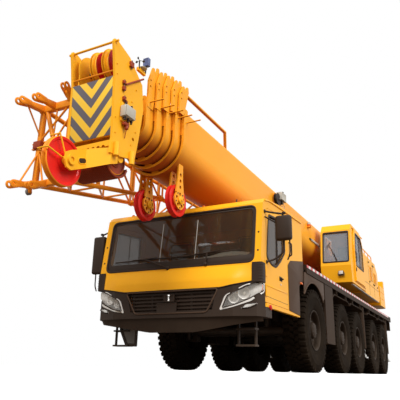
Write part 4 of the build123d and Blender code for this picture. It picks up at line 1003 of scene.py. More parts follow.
def add_windscreen():
    """Seal, dark border and joints of the windscreen, and its two wipers."""
    seal = panel("screen_seal", frame_outline(1.350, -0.470, 0.468, 0.12), BLACK, 0.024,
                 on_screen(0, 0, -0.006), Y, SCREEN_UP, 0.006,
                 holes=(frame_outline(1.322, -0.436, 0.440, 0.09),))
    border = panel("screen_border", frame_outline(1.326, -0.440, 0.442, 0.09), BLACK, 0.004,
                   on_screen(0, 0, -0.012), Y, SCREEN_UP, 0.001,
                   holes=(frame_outline(1.285, -0.335, 0.405, 0.08),))
    pieces = [seal, border]
    for y in (-0.305, 0.34):
        pieces.append(panel("screen_joint", [(-0.006, -0.34), (0.006, -0.34), (0.006, 0.33), (-0.006, 0.33)],
                            PALE, 0.004, on_screen(y, 0, -0.0125), Y, SCREEN_UP, 0.001))
    fitted(joined("screen_seal", pieces), "carrier", "black_plastic")
    pieces = []
    for root, start, end in (
        ((-0.12, -0.46), (-1.16, -0.296), (0.02, -0.282)),
        ((0.55, -0.44), (0.04, -0.285), (1.12, -0.255)),
    ):
        middle = ((start[0] + end[0]) / 2, (start[1] + end[1]) / 2)
        pieces.append(pipe("blade", [on_screen(*start, 0.012), on_screen(*end, 0.012)], 0.011, BLACK,
                           sides=2))
        pieces.append(pipe("blade_back", [on_screen(start[0] * 0.7 + end[0] * 0.3, start[1] + 0.012, 0.03),
                                          on_screen(*middle, 0.04),
                                          on_screen(start[0] * 0.3 + end[0] * 0.7, end[1] + 0.012, 0.03)],
                           0.008, BLACK, 0.05, sides=2))
        pieces.append(pipe("wiper_arm", [on_screen(*root, 0.02), on_screen(*middle, 0.045)], 0.013, BLACK,
                           sides=2))
        pieces.append(turned("wiper_pivot", [(0.03, 0), (0.032, 0.012), (0.024, 0.034), (0.012, 0.04)],
                             on_screen(*root, 0.0), SCREEN_OUT, BLACK, 20))
    fitted(joined("wipers", pieces), "carrier", "black_plastic")


BAND_LOW = 0.86                                 # half the width where its foot lies low
BAND_SLOPE = 0.17                               # rise of its foot beyond that
BAND_FOLD_Z, BAND_HEIGHT = 1.268, 0.225         # its fold, and what stands above it
BAND_STEPS = 44


def add_front_band():
    """Painted flap between the bumper and the windscreen, lower in the middle."""
    rows = []
    for level in range(8):
        row = []
        for step in range(BAND_STEPS + 1):
            y = -1.315 + 2.63 * step / BAND_STEPS
            foot = 1.172 + max(abs(y) - BAND_LOW, 0) * BAND_SLOPE
            front = max(bumper_x(y) + 0.008, 4.812)
            if level < 2:
                row.append((front, y, foot + (BAND_FOLD_Z - foot) * level))
            else:
                t = (level - 1) / 6
                row.append((front + (4.806 - front) * t ** 1.3, y, BAND_FOLD_Z + BAND_HEIGHT * t))
        rows.append(row)
    fitted(sheet("front_band", rows, YELLOW, 0.008), "carrier", "yellow_paint")
    # folded lip under it
    lip = [(bumper_x(y) + 0.006, y, 1.163 + max(abs(y) - BAND_LOW, 0) * BAND_SLOPE)
           for y in [-1.31 + 2.62 * step / BAND_STEPS for step in range(BAND_STEPS + 1)]]
    fitted(pipe("band_lip", lip, 0.007, BLACK, sides=2), "carrier", "black_plastic")


def add_corner_vents():
    """Dark ribbed vents round the cab's front corners."""
    for name, side in SIDES:
        turn = [(4.816, side * 1.322), (4.816, side * 1.41), (4.815, side * 1.442), (4.806, side * 1.460),
                (4.788, side * 1.467), (4.740, side * 1.468), (4.672, side * 1.468)]
        rows = [[(x, y, z) for x, y in turn] for z in (1.232, 1.25, 1.33, 1.42, 1.505, 1.52)]
        pieces = [sheet("vent_panel", rows, BLACK, 0.014)]
        for step in range(6):
            z = 1.275 + 0.042 * step
            pieces.append(pipe("vent_rib", [(x + 0.006, y + side * 0.006, z) for x, y in turn[1:-1]], 0.006,
                               BLACK, sides=1))
        fitted(joined(f"corner_vent_{name}", pieces), "carrier", "black_plastic")


LAMP_FORM = ((0.880, 0.870), (0.960, 1.040), (1.240, 1.180), (1.445, 1.225), (1.445, 1.110), (1.300, 1.000),
             (1.080, 0.910))


def resized(points, share, centre=None):
    """Outline drawn in or out from its middle, or from the centre given."""
    if centre is None:
        centre = Vector((sum(p[0] for p in points), sum(p[1] for p in points))) / len(points)
    return [centre + (Vector(p) - centre) * share for p in points]


def add_headlamps():
    """Backing, bowls, bulbs, bright ring and edge of each headlamp, and its fog lamp."""
    for name, side in SIDES:
        way = Vector((1, side * 0.25, 0)).normalized()
        # bright backing that follows the bumper's front
        pieces = []
        backing = panel("lamp_backing", rounded(LAMP_FORM, 0.03, 3), SILVER, 0.01, (4.742, 0, 0), Y, Z, 0.003)
        if side < 0:
            backing.data.transform(MIRROR)
            backing.data.flip_normals()
        pieces.append(backing)
        for y, z, radius in ((1.022, 1.017, 0.072), (1.173, 1.085, 0.082)):
            at = Vector((4.76 if y < 1.1 else 4.745, side * y, z))
            pieces.append(turned("bowl", [
                (0.012, 0.0), (radius * 0.55, 0.014), (radius * 0.85, 0.034), (radius, 0.062),
                (radius + 0.008, 0.066), (radius + 0.008, 0.055), (radius * 0.9, 0.024), (0.012, -0.006),
            ], at, way, SILVER, 32, ring=True))
            pieces.append(turned("bulb", [(0.014, 0.0), (0.018, 0.02), (0.026, 0.034), (0.022, 0.05),
                                          (0.002, 0.056)], at, way, PALE, 20))
        pieces.append(block("side_lamp", (4.70, 4.735), (side * 1.425 - 0.018, side * 1.425 + 0.018),
                            (1.12, 1.20), AMBER, 0.008))
        fitted(joined(f"headlamp_works_{name}", pieces), "carrier", "lamp_lens")
        # bright ring round the lens, wider along its lower edge
        wide = [(y + (0.02 if y > 1.1 else -0.035), z - 0.035) for y, z in LAMP_FORM]
        wide[0], wide[1] = (0.835, 0.835), (0.925, 1.045)
        wide[2], wide[3], wide[4] = (1.235, 1.200), (1.458, 1.243), (1.458, 1.095)
        rows = []
        for loop in (rounded(wide, 0.04, 5), rounded(resized(LAMP_FORM, 0.97), 0.03, 5)):
            points = [(bumper_x(min(y, 1.45)) + 0.004, side * y, z) for y, z in loop]
            rows.append(points + points[:1])
        fitted(sheet(f"headlamp_ring_{name}", rows, SILVER, 0.006), "carrier", "lamp_lens")
        # trim line and lens edge over the glass
        edge = [(bumper_x(y) + 0.003, side * y, z) for y, z in rounded(LAMP_FORM, 0.03, 5)]
        pieces = [pipe("lamp_edge", edge, 0.009, BLACK, closed=True, sides=2)]
        fitted(joined(f"headlamp_trim_{name}", pieces), "carrier", "black_plastic")
        # slim front fog lamp
        out = Vector((0.33, side * 0.09, 0)).normalized()
        along = Vector((-0.09, side * 0.33, 0)).normalized()
        start = Vector((bumper_x(1.17) + 0.004, side * 1.17, 0.87))
        outline = rounded([(0.0, -0.012), (0.12, 0.0), (0.225, 0.045), (0.20, 0.062), (0.06, 0.048)], 0.02, 3)
        fog = panel("fog_lens", outline, LENS, 0.012, start, along, Z, 0.004)
        back = panel("fog_back", resized(outline, 1.12), CHROME, 0.006, start + out * -0.004, along, Z, 0.002)
        rim = pipe("fog_rim", [start + along * u + Z * v + out * 0.004 for u, v in outline], 0.006, BLACK,
                   closed=True, sides=2)
        fitted(joined(f"fog_lamp_{name}", [fog, back, rim]), "carrier", "lamp_lens")


def add_grille():
    """Mesh, frame, tow pin and blank plate in the bumper."""
    backing = panel("grille_back", [(-0.66, 0.835), (0.66, 0.835), (0.80, 1.155), (-0.80, 1.155)], BLACK,
                    0.008, (4.812, 0, 0), Y, Z, 0.002)
    pieces = [backing]
    # pressed mesh: fine upright bars behind the frame
    bar = block("mesh_bar", (4.822, 4.83), (-0.004, 0.004), (0.845, 1.15), DUSK, 0.0015, 1)
    for step in range(61):
        pieces.append(shifted(bar, "mesh_bar", y=-0.75 + 0.025 * step))
    bpy.data.objects.remove(bar)
    # raised frame round the opening
    loop = rounded([(-0.63, 0.815), (0.63, 0.815), (0.815, 1.150), (-0.815, 1.150)], 0.05, 4)
    pieces.append(pipe("grille_frame", [(4.893, y, z) for y, z in loop], 0.012, DUSK, closed=True, sides=3))
    # tow pin in its pocket, and the blank plate below it
    pieces.append(block("pin_pocket", (4.862, 4.897), (-0.115, 0.075), (0.985, 1.10), BLACK, 0.008, 2, 0.014,
                        0.01))
    pieces.append(turned("tow_pin", [(0.016, 0), (0.02, 0.006), (0.012, 0.02), (0.012, 0.07), (0.024, 0.082),
                                     (0.018, 0.1)], (4.899, -0.02, 0.995), Z, CHROME, 16))
    pieces.append(block("blank_plate", (4.884, 4.896), (-0.23, 0.12), (0.825, 0.975), BLACK, 0.006, 2, 0.01,
                        0.004))
    fitted(joined("grille_trim", pieces), "carrier", "black_plastic")


ARCH_R = 0.865


def add_cab_sides():
    """Lower panels, grab rails, small lamps, drip rails, deck strips and front wheel arches."""
    for name, side in SIDES:
        y = side * CAB_SIDE
        # dark lower panel behind the door
        outline = rounded([(2.672, 1.565), (2.958, 1.435), (2.962, 0.925), (3.545, 0.955), (3.545, 1.70),
                           (3.405, 1.80), (2.672, 1.925)], 0.02, 3)
        dark = panel("side_panel", outline, DUSK, 0.012, (0, y, 0), X, Z, 0.004)
        fitted(dark, "carrier", "black_plastic")
        pieces = []
        # grab rail behind the door
        pieces.append(pipe("grab_rail", [(3.46, side * 1.45, 2.10), (3.46, side * 1.50, 2.08),
                                         (3.46, side * 1.50, 1.88), (3.46, side * 1.45, 1.86)], 0.012, BLACK,
                           0.03))
        # small lamps low on the side
        pieces.append(turned("side_lamp", [(0.036, -0.012), (0.04, 0.0), (0.038, 0.012), (0.02, 0.02),
                                           (0.002, 0.022)], (4.452, side * 1.462, 0.90), Y * side, RED_LENS,
                             24))
        pieces.append(block("side_lamp", (2.80, 2.90), (y - side * 0.01, y + side * 0.028), (1.478, 1.515),
                            AMBER, 0.01))
        for z in (1.705, 1.99):
            x = SCREEN_X - SCREEN_BACK / SCREEN_RISE * (z - SCREEN_Z)
            pieces.append(turned("screen_plug", [(0.012, -0.004), (0.014, 0.003), (0.006, 0.008)],
                                 (x + 0.001, side * 1.40, z), SCREEN_OUT, BLACK, 12))
        fitted(joined(f"side_fittings_{name}", pieces), "carrier", "lamp_lens")
        # drip rail and roof seam
        drip = pipe("drip_rail", [(4.60, side * 1.452, 2.52), (4.40, side * 1.456, 2.565),
                                  (3.9, side * 1.457, 2.592), (2.70, side * 1.457, 2.64)], 0.011, YELLOW, 0.1)
        fitted(drip, "carrier", "yellow_paint")
        # red and white reflective strip along the deck
        strip = block(f"reflective_strip_{name}", (-7.2, 2.55), (side * 1.4895, side * 1.494), (1.836, 1.886),
                      SAFETY, 0.001, 1)
        fitted(strip, "carrier", "red_paint")
        # panel over the front wheel's arch
        arch = []
        for step in range(13):
            angle = radians(42 + 96 * step / 12)
            arch.append((AXLE_X[0] + ARCH_R * cos(angle), TYRE_R + ARCH_R * sin(angle)))
        outline = arch + [(1.33, 1.42), (1.33, 1.735), (2.668, 1.735)]
        liner = panel("arch_panel", outline, DUSK, 0.012, (0, side * 1.47, 0), X, Z, 0.003)
        lip = pipe("arch_lip", [(x, side * 1.478, z) for x, z in arch], 0.014, DUSK, sides=2)
        fitted(joined(f"wheel_arch_{name}", [liner, lip]), "carrier", "black_plastic")


def add_cab_roof():
    """Hatch, aerial and marker lamps."""
    pieces = [
        block("hatch", (3.15, 3.85), (-0.42, 0.42), (2.655, 2.70), YELLOW, 0.02, 3, 0.05, 0.008),
        pipe("aerial", [(4.42, 0.90, 2.60), (4.40, 0.905, 2.665)], 0.01, BLACK),
    ]
    for y in (-1.05, -0.35, 0.35, 1.05):
        pieces.append(turned("marker", [(0.03, 0), (0.032, 0.01), (0.02, 0.028), (0.003, 0.034)],
                             (4.50, y, 2.57), (0.15, 0, 1), AMBER, 20))
    fitted(joined("roof_fittings", pieces), "carrier", "yellow_paint")


def add_doors():
    """Window seals, handles, locks and seams of the driver's cab doors."""
    outline = [(3.68, 1.88), (3.90, 1.70), (4.12, 1.56), (4.32, 1.56), (4.54, 1.64), (4.43, 2.33),
               (3.68, 2.40)]
    middle = Vector((4.1, 2.0))
    wide = rounded(resized(outline, 1.045, middle), 0.07, 5)
    tight = rounded(resized(outline, 0.95, middle), 0.06, 5)
    for name, side in SIDES:
        y = side * DOOR_SKIN
        pieces = [panel("window_seal", wide, BLACK, 0.016, (0, y, 0), X, Z, 0.005, holes=(tight,))]
        # sliding pane's rail
        pieces.append(pipe("pane_rail", [(4.02, side * 1.436, 1.66), (4.02, side * 1.436, 2.35)], 0.010,
                           BLACK, sides=2))
        # pull handle in its dish
        pieces.append(block("handle_dish", (3.85, 3.985), (side * 1.446, side * 1.455), (1.37, 1.44), BLACK,
                            0.004, 2, 0.012, 0.006))
        pieces.append(pipe("handle", [(3.865, side * 1.455, 1.405), (3.88, side * 1.482, 1.405),
                                      (3.955, side * 1.482, 1.405), (3.97, side * 1.455, 1.405)], 0.010,
                           BLACK, 0.02))
        pieces.append(turned("door_lock", [(0.016, 0), (0.017, 0.006), (0.006, 0.008)],
                             (3.93, side * 1.45, 1.315), Y * side, CHROME, 16))
        fitted(joined(f"door_trim_{name}", pieces), f"door_{name}", "black_plastic")
        pieces = [
            panel("sill_seam", [(3.60, 1.036), (4.615, 1.052), (4.615, 1.058), (3.60, 1.042)], BLACK, 0.004,
                  (0, side * 1.4495, 0), X, Z, 0.001),
            block("swage", (3.60, 4.60), (side * 1.447, side * 1.456), (1.205, 1.228), YELLOW, 0.004),
        ]
        fitted(joined(f"door_swage_{name}", pieces), f"door_{name}", "yellow_paint")


def add_mirrors():
    """Mirrors on their bent arms."""
    for name, side in SIDES:
        low = 1.872 if side > 0 else 1.582
        shell = block("mirror_shell", (4.472, 4.578), (side * 1.602, side * 1.848), (low, 2.258), BLACK,
                      0.038, 4)
        face = panel("mirror_face", rounded([(-0.10, low + 0.03), (0.10, low + 0.03), (0.10, 2.228),
                                             (-0.10, 2.228)], 0.03, 4), MIRROR_GLASS, 0.006,
                     (4.4705, side * 1.725, 0), Y, Z, 0.002)
        pieces = [shell, face]
        pieces.append(pipe("upper_arm", [(4.60, side * 1.452, 2.34), (4.52, side * 1.56, 2.325),
                                         (4.492, side * 1.70, 2.30), (4.492, side * 1.72, 2.24)], 0.0145,
                           BLACK, 0.05))
        pieces.append(pipe("upper_stay", [(4.60, side * 1.452, 2.255), (4.50, side * 1.62, 2.15)], 0.012,
                           BLACK))
        pieces.append(pipe("lower_arm", [(4.55, side * 1.452, 1.565), (4.50, side * 1.56, 1.60),
                                         (4.488, side * 1.705, 1.70), (4.488, side * 1.71, low + 0.04)],
                           0.0145, BLACK, 0.07))
        pieces.append(pipe("outer_arm", [(4.49, side * 1.80, low + 0.04), (4.488, side * 1.80, low - 0.20),
                                         (4.49, side * 1.76, low - 0.29)], 0.011, BLACK, 0.05))
        for z in (2.31, 2.12):
            pieces.append(turned("clamp", [(0.026, -0.016), (0.03, -0.006), (0.03, 0.006), (0.026, 0.016)],
                                 (4.492, side * 1.722, z), Z, BLACK, 16))
        for x, z in ((4.60, 2.34), (4.55, 1.565)):
            pieces.append(turned("foot", [(0.03, 0), (0.03, 0.008), (0.018, 0.02)], (x, side * 1.45, z),
                                 Y * side, BLACK, 16))
        fitted(joined(f"mirror_and_arms_{name}", pieces), f"door_{name}", "black_plastic", f"mirror_{name}")


def add_chin():
    """Dark plates under the bumper, and the guard beside the right step."""
    rows = []
    for t in (0.0, 0.35, 0.7, 1.0):
        row = []
        for step in range(31):
            y = -1.42 + 2.84 * step / 30
            low = 0.54 + 0.15 * max(abs(y) - 0.40, 0)
            row.append((bumper_x(y) - 0.035 - 0.05 * t, y, 0.758 + (low - 0.758) * t))
        rows.append(row)
    fitted(sheet("chin_plate", rows, BLACK, 0.008), "carrier", "black_plastic")
    outline = rounded([(0.80, 0.76), (1.20, 0.76), (1.16, 0.60), (1.03, 0.352), (0.805, 0.346)], 0.02, 3)
    hole = rounded([(0.855, 0.72), (1.135, 0.72), (1.10, 0.60), (0.995, 0.40), (0.86, 0.395)], 0.02, 3)
    rim = panel("guard_rim", outline, BLACK, 0.012, (4.525, 0, 0), Y, Z, 0.003, holes=(hole,))
    plate = panel("guard_plate", hole, GREY, 0.004, (4.523, 0, 0), Y, Z, 0.001)
    guard = joined("step_guard", [rim, plate])
    guard.data.transform(MIRROR)
    guard.data.flip_normals()
    fitted(guard, "carrier", "black_plastic")


# ---------------------------------------------------------------- seats and dash
CLOTH_FRAMES, CLOTH_PRESSURE = 20, 4
PAD_SWELL, UNDERSIDE_SWELL = 0.014, 0.003       # most that the cover moves outwards


def cushion(name, x, y, z):
    """Pad of seat cloth: a rounded block blown up against its own cover."""
    pad = block(name, (x[0] + 0.014, x[1] - 0.014), (y[0] + 0.014, y[1] - 0.014),
                (z[0] + 0.010, z[1] - 0.014), FABRIC, 0.028, 3)
    active(pad)
    even = pad.modifiers.new("even_mesh", "REMESH")
    even.mode = "VOXEL"
    even.voxel_size = 0.013
    bpy.ops.object.modifier_apply(modifier=even.name)
    before = [vertex.co.copy() for vertex in pad.data.vertices]
    cloth = pad.modifiers.new("cloth", "CLOTH")
    cloth.settings.use_pressure = True
    cloth.settings.uniform_pressure_force = CLOTH_PRESSURE
    cloth.settings.effector_weights.gravity = 0
    for number in range(1, CLOTH_FRAMES + 1):
        SCENE.frame_set(number)
    bpy.ops.object.modifier_apply(modifier=cloth.name)
    for vertex, start in zip(pad.data.vertices, before):
        move = vertex.co - start
        # the underside rests flat on its pan
        limit = UNDERSIDE_SWELL if start.z < z[0] + 0.02 else PAD_SWELL
        if move.length > limit:
            vertex.co = start + move * (limit / move.length)
    SCENE.frame_set(1)
    fine = pad.modifiers.new("fine", "SUBSURF")
    fine.levels = fine.render_levels = 1
    bpy.ops.object.modifier_apply(modifier=fine.name)
    return smooth(pad, 180)


def piping(name, x, y, z):
    """Sewn piping round a pad's edge."""
    loop = rounded([(x[0] + 0.012, y[0] + 0.012), (x[1] - 0.012, y[0] + 0.012), (x[1] - 0.012, y[1] - 0.012),
                    (x[0] + 0.012, y[1] - 0.012)], 0.05, 5)
    return pipe(name, [(a, b, z) for a, b in loop], 0.005, BLACK, closed=True, sides=2)


def add_seats():
    """Driver's, passenger's and operator's seats."""
    # both pads are shaped at the driver's place and copied to the others
    base_box = ((3.405, 3.895), (0.47, 0.97), (1.553, 1.678))
    back_box = ((3.262, 3.388), (0.475, 0.965), (1.62, 2.325))
    base = cushion("seat_pad", *base_box)
    back = cushion("back_pad", *back_box)
    pieces = [piping("pad_piping", base_box[0], base_box[1], 1.655)]
    loop = rounded([(0.487, 1.632), (0.953, 1.632), (0.953, 2.313), (0.487, 2.313)], 0.06, 5)
    pieces.append(pipe("back_piping", [(3.372, a, b) for a, b in loop], 0.005, BLACK, closed=True, sides=2))
    for z in (1.86, 2.10):
        pieces.append(pipe("back_seam", [(3.383, 0.50, z), (3.386, 0.72, z + 0.004), (3.383, 0.94, z)], 0.003,
                           BLACK, sides=1))
    # pans, pillar and slide rails
    pieces.append(block("seat_pan", (3.36, 3.88), (0.48, 0.96), (1.530, 1.551), GREY, 0.008))
    pieces.append(block("back_shell", (3.245, 3.262), (0.50, 0.94), (1.60, 2.28), GREY, 0.006))
    pieces.append(block("back_bracket", (3.262, 3.400), (0.62, 0.82), (1.535, 1.60), GREY, 0.008))
    pieces.append(block("pillar", (3.46, 3.79), (0.56, 0.88), (1.235, 1.50), BLACK, 0.02, 3, 0.03, 0.01))
    for y in (0.55, 0.89):
        pieces.append(block("rail", (3.40, 3.84), (y - 0.02, y + 0.02), (1.498, 1.532), STEEL, 0.005))
    frame_piece = joined("seat_frame", pieces)
    seats = (
        ("driver", "carrier", (0, 0, 0), "cab_seats"),
        ("passenger", "carrier", (0, -1.44, 0), "cab_seats"),
        ("operator", "superstructure", (-6.49, 0.32, 1.198), "operator_seat"),
    )
    for name, body, place, node in seats:
        for pattern, part in ((base, "seat_pad"), (back, "back_pad"), (frame_piece, "seat_frame")):
            twin = shifted(pattern, f"{name}_{part}", *place)
            fitted(twin, body, "seat_fabric", node)
    for pattern in (base, back, frame_piece):
        bpy.data.objects.remove(pattern)


def add_dash():
    """Dash with its hood, vents and glove box, and the steering wheel on its column."""
    def crown(y):
        """Swell of the dash top before the driver."""
        return 0.085 * 2.718 ** (-((y - 0.86) / 0.34) ** 2)

    rows, low_rows = [], []
    for step in range(41):
        y = -1.34 + 2.68 * step / 40
        lift = crown(y)
        rows.append([(4.738, y, 1.575), (4.728, y, 1.645), (4.66, y, 1.672 + lift * 0.6),
                     (4.56, y, 1.690 + lift), (4.46, y, 1.682 + lift), (4.40, y, 1.650 + lift * 0.9),
                     (4.372, y, 1.58)])
        low_rows.append([(4.372, y, 1.58), (4.352, y, 1.50), (4.365, y, 1.36), (4.42, y, 1.24)])
    pieces = [sheet("dash_top", rows, CREAM, 0.010), sheet("dash_front", low_rows, GREY, 0.010)]
    for side in (1, -1):
        pieces.append(panel("dash_end", [(4.738, 1.575), (4.66, 1.672), (4.46, 1.682), (4.372, 1.58),
                                         (4.352, 1.50), (4.42, 1.24), (4.66, 1.24)], GREY, 0.01,
                            (0, side * 1.34, 0), X, Z, 0.002))
    # instrument hood, air vents and a glove box
    pieces.append(block("dials", (4.352, 4.372), (0.60, 1.12), (1.51, 1.64), BLACK, 0.008, 2, 0.02, 0.006))
    for y in (-1.1, -0.4, 0.2, 1.24):
        pieces.append(block("air_vent", (4.344, 4.36), (y - 0.06, y + 0.06), (1.515, 1.575), BLACK, 0.005, 2,
                            0.012, 0.006))
    pieces.append(block("glove_box", (4.345, 4.362), (-0.98, -0.52), (1.36, 1.50), GREY, 0.01, 2, 0.02,
                        0.004))
    # steering wheel and column
    deselect()
    bpy.ops.mesh.primitive_torus_add(major_radius=0.2175, minor_radius=0.0145, major_segments=56,
                                     minor_segments=12)
    ring = name_it(bpy.context.object, "wheel_ring", BLACK)
    way = Vector((-220, 0, 240)).normalized()
    centre = Vector((4.19, 0.72, 1.65))
    lay(ring, centre, way)
    pieces.append(smooth(ring, 60))
    across = Y
    up = way.cross(across)
    for angle in (0.35, pi - 0.35, 1.5 * pi):
        tip = centre + (across * cos(angle) + up * sin(angle)) * 0.212
        pieces.append(pipe("wheel_spoke", [centre - way * 0.02, centre - way * 0.02 + (tip - centre) * 0.5,
                                           tip], 0.011, BLACK, sides=2))
    pieces.append(turned("wheel_boss", [(0.055, -0.045), (0.065, -0.02), (0.05, 0.008), (0.02, 0.014)],
                         centre, way, BLACK, 28))
    pieces.append(turned("column", [(0.034, 0.0), (0.036, 0.04), (0.046, 0.12), (0.050, 0.30)],
                         centre - way * 0.03, -way, GREY, 24))
    pieces.append(pipe("stalk", [centre - way * 0.06, centre - way * 0.055 + Y * 0.14], 0.007, BLACK,
                       sides=2))
    fitted(joined("dash_and_wheel", pieces), "carrier", "dash_plastic", "cab_dash")


# ---------------------------------------------------------------- superstructure
OP_Y, OP_Z = 1.04, 3.22                         # middle of the operator's front window
OP_UP = Vector((-0.17, 0, 1)).normalized()
OP_OUT_WAY = Vector((1, 0, 0.17)).normalized()


def add_operator_cab():
    """Seals, wipers, work lamp, sliding door's trim and controls of the operator's cab."""
    at = Vector((-1.8884, OP_Y, OP_Z))
    seal = panel("front_seal", frame_outline(0.352, -0.448, 0.446, 0.05), BLACK, 0.016, at, Y, OP_UP, 0.005,
                 holes=(frame_outline(0.318, -0.408, 0.408, 0.04),))
    pieces = [seal]
    for points in (((0.858, 3.29), (1.083, 2.825)), ((0.80, 3.22), (0.905, 3.36))):
        line = [at + Y * (y - OP_Y) + OP_UP * (z - OP_Z) + OP_OUT_WAY * 0.018 for y, z in points]
        pieces.append(pipe("wiper", line, 0.009, BLACK, sides=2))
    pieces.append(pipe("wiper_arm", [at + Y * 0.02 + OP_UP * -0.43 + OP_OUT_WAY * 0.01,
                                     at + Y * -0.03 + OP_UP * -0.20 + OP_OUT_WAY * 0.03], 0.008, BLACK,
                       sides=2))
    fitted(joined("front_window_trim", pieces), "superstructure", "black_plastic")
    # work lamp under the window, on its bracket
    lamp = Vector((-1.79, 1.166, 2.498))
    pieces = [
        block("lamp_case", (lamp.x - 0.03, lamp.x + 0.035), (1.10, 1.232), (2.447, 2.549), BLACK, 0.012, 3),
        panel("lamp_face", frame_outline(0.056, -0.041, 0.041, 0.014), SILVER, 0.008, lamp + X * 0.036, Y, Z,
              0.003),
        pipe("lamp_bracket", [(lamp.x - 0.03, 1.09, 2.50), (lamp.x, 1.085, 2.50), (lamp.x, 1.085, 2.43),
                              (lamp.x, 1.247, 2.43), (lamp.x, 1.247, 2.50)], 0.007, STEEL, 0.012, sides=2),
    ]
    fitted(joined("work_lamp", pieces), "superstructure", "lamp_lens")
    # sliding door's pane and seals
    outline = [(-3.34, 2.76), (-2.32, 2.76), (-2.32, 3.30), (-2.43, 3.69), (-3.15, 3.69), (-3.34, 3.46)]
    middle = Vector((-2.83, 3.22))
    wide = rounded(resized(outline, 1.03, middle), 0.06, 5)
    tight = rounded(resized(outline, 0.95, middle), 0.05, 5)
    y = OPERATOR_DOOR_SIDE
    pieces = [panel("door_seal", wide, BLACK, 0.012, (0, y, 0), X, Z, 0.004, holes=(tight,)),
              pipe("pane_rail", [(-2.82, y, 2.78), (-2.82, y, 3.67)], 0.009, BLACK, sides=2),
              pipe("door_grip", [(-2.27, y, 2.86), (-2.27, y + 0.035, 2.88), (-2.27, y + 0.035, 3.12),
                                 (-2.27, y, 3.14)], 0.010, BLACK, 0.02, sides=2),
              block("door_lock", (-2.30, -2.235), (y - 0.004, y + 0.014), (2.60, 2.70), BLACK, 0.005)]
    fitted(joined("operator_door_trim", pieces), "operator_door", "black_plastic")
    pane = panel("operator_door_pane", rounded(outline, 0.05, 4), CAB_GLASS, 0.006, (0, 1.452, 0), X, Z,
                 0.001)
    fitted(pane, "operator_door", "window_glass")
    # levers and a console beside the seat
    pieces = []
    for y in (0.735, 1.345):
        pieces.append(block("console", (-2.95, -2.62), (y - 0.045, y + 0.045), (2.72, 2.98), GREY, 0.02, 3,
                            0.02, 0.006))
        pieces.append(pipe("lever", [(-2.68, y, 2.97), (-2.66, y, 3.06), (-2.645, y, 3.11)], 0.009, BLACK,
                           sides=2))
        pieces.append(turned("knob", [(0.012, 0), (0.024, 0.012), (0.027, 0.03), (0.02, 0.05),
                                      (0.004, 0.058)], (-2.645, y, 3.10), (0.1, 0, 1), BLACK, 16))
    pieces.append(block("screen", (-2.17, -2.13), (1.18, 1.36), (2.95, 3.10), BLACK, 0.012, 3, 0.014, 0.004))
    fitted(joined("operator_controls", pieces), "superstructure", "dash_plastic")


def add_housing_trim():
    """Seams, louvres, latches, sill strip and hand rail of the machinery housing."""
    pieces = []
    y = HOUSING_SIDE
    for x in (-3.62, -4.38, -5.18):
        pieces.append(block("seam", (x - 0.006, x + 0.006), (y - 0.003, y + 0.0015), (2.26, 3.36), BLACK,
                            0.0008, 1))
    pieces.append(block("seam", (-6.0, -3.62), (y - 0.003, y + 0.0015), (2.555, 2.565), BLACK, 0.0008, 1))
    # louvres and latches stay behind the reach of the operator's sliding door
    for x, low, high in ((-4.78, 2.75, 3.15), (-5.48, 2.75, 3.05)):
        for step in range(9):
            z = low + (high - low) * step / 8
            pieces.append(block("louvre", (x - 0.19, x + 0.19), (y - 0.004, y + 0.014),
                                (z - 0.012, z + 0.010), YELLOW, 0.006))
    fitted(joined("housing_panels", pieces), "superstructure", "yellow_paint")
    pieces = []
    for x in (-4.46, -5.10, -5.26, -5.80):
        for z in (2.66, 3.26):
            if z > 3.0 and x < -5.7:
                continue
            pieces.append(block("latch", (x - 0.03, x + 0.03), (y - 0.002, y + 0.016), (z - 0.02, z + 0.02),
                                BLACK, 0.006))
            pieces.append(turned("latch_pin", [(0.010, 0), (0.010, 0.008), (0.005, 0.012)], (x, y + 0.014, z),
                                 Y, STEEL, 12))
    fitted(joined("housing_latches", pieces), "superstructure", "black_plastic")
    # polished sill strip under the operator's cab and housing
    fitted(block("sill_strip", (-5.9, -2.0), (1.36, 1.425), (2.205, 2.222), SILVER, 0.006), "superstructure",
           "cast_steel")
    # hand rail over the housing
    pieces = [pipe("rail", [(-3.75, 1.36, 3.40), (-3.75, 1.36, 3.60), (-5.45, 1.36, 3.60),
                            (-5.45, 1.36, 3.40)], 0.016, YELLOW, 0.08)]
    for x in (-4.32, -4.90):
        pieces.append(pipe("post", [(x, 1.36, 3.39), (x, 1.36, 3.60)], 0.013, YELLOW))
    fitted(joined("housing_rail", pieces), "superstructure", "yellow_paint")


ROPE_TURNS, ROPE_PITCH, DRUM_HALF = 31, 0.024, 0.372


def add_ropes():
    """Wire rope wound on both winch drums."""
    for name, x, z, radius in (("main", -6.18, 2.48, 0.215), ("second", -6.68, 2.48, 0.19)):
        stations = [(radius - 0.01, -DRUM_HALF)]
        for step in range(ROPE_TURNS):
            y = -DRUM_HALF + ROPE_PITCH * step
            stations += [(radius + 0.004, y + 0.001), (radius + 0.0155, y + 0.006),
                         (radius + 0.0155, y + 0.018), (radius + 0.004, y + 0.023)]
        stations.append((radius - 0.01, 0.373))
        fitted(turned(f"rope_on_{name}_drum", stations, (x, 0, z), Y, WIRE, 36, ring=True), "superstructure",
               "cast_steel")


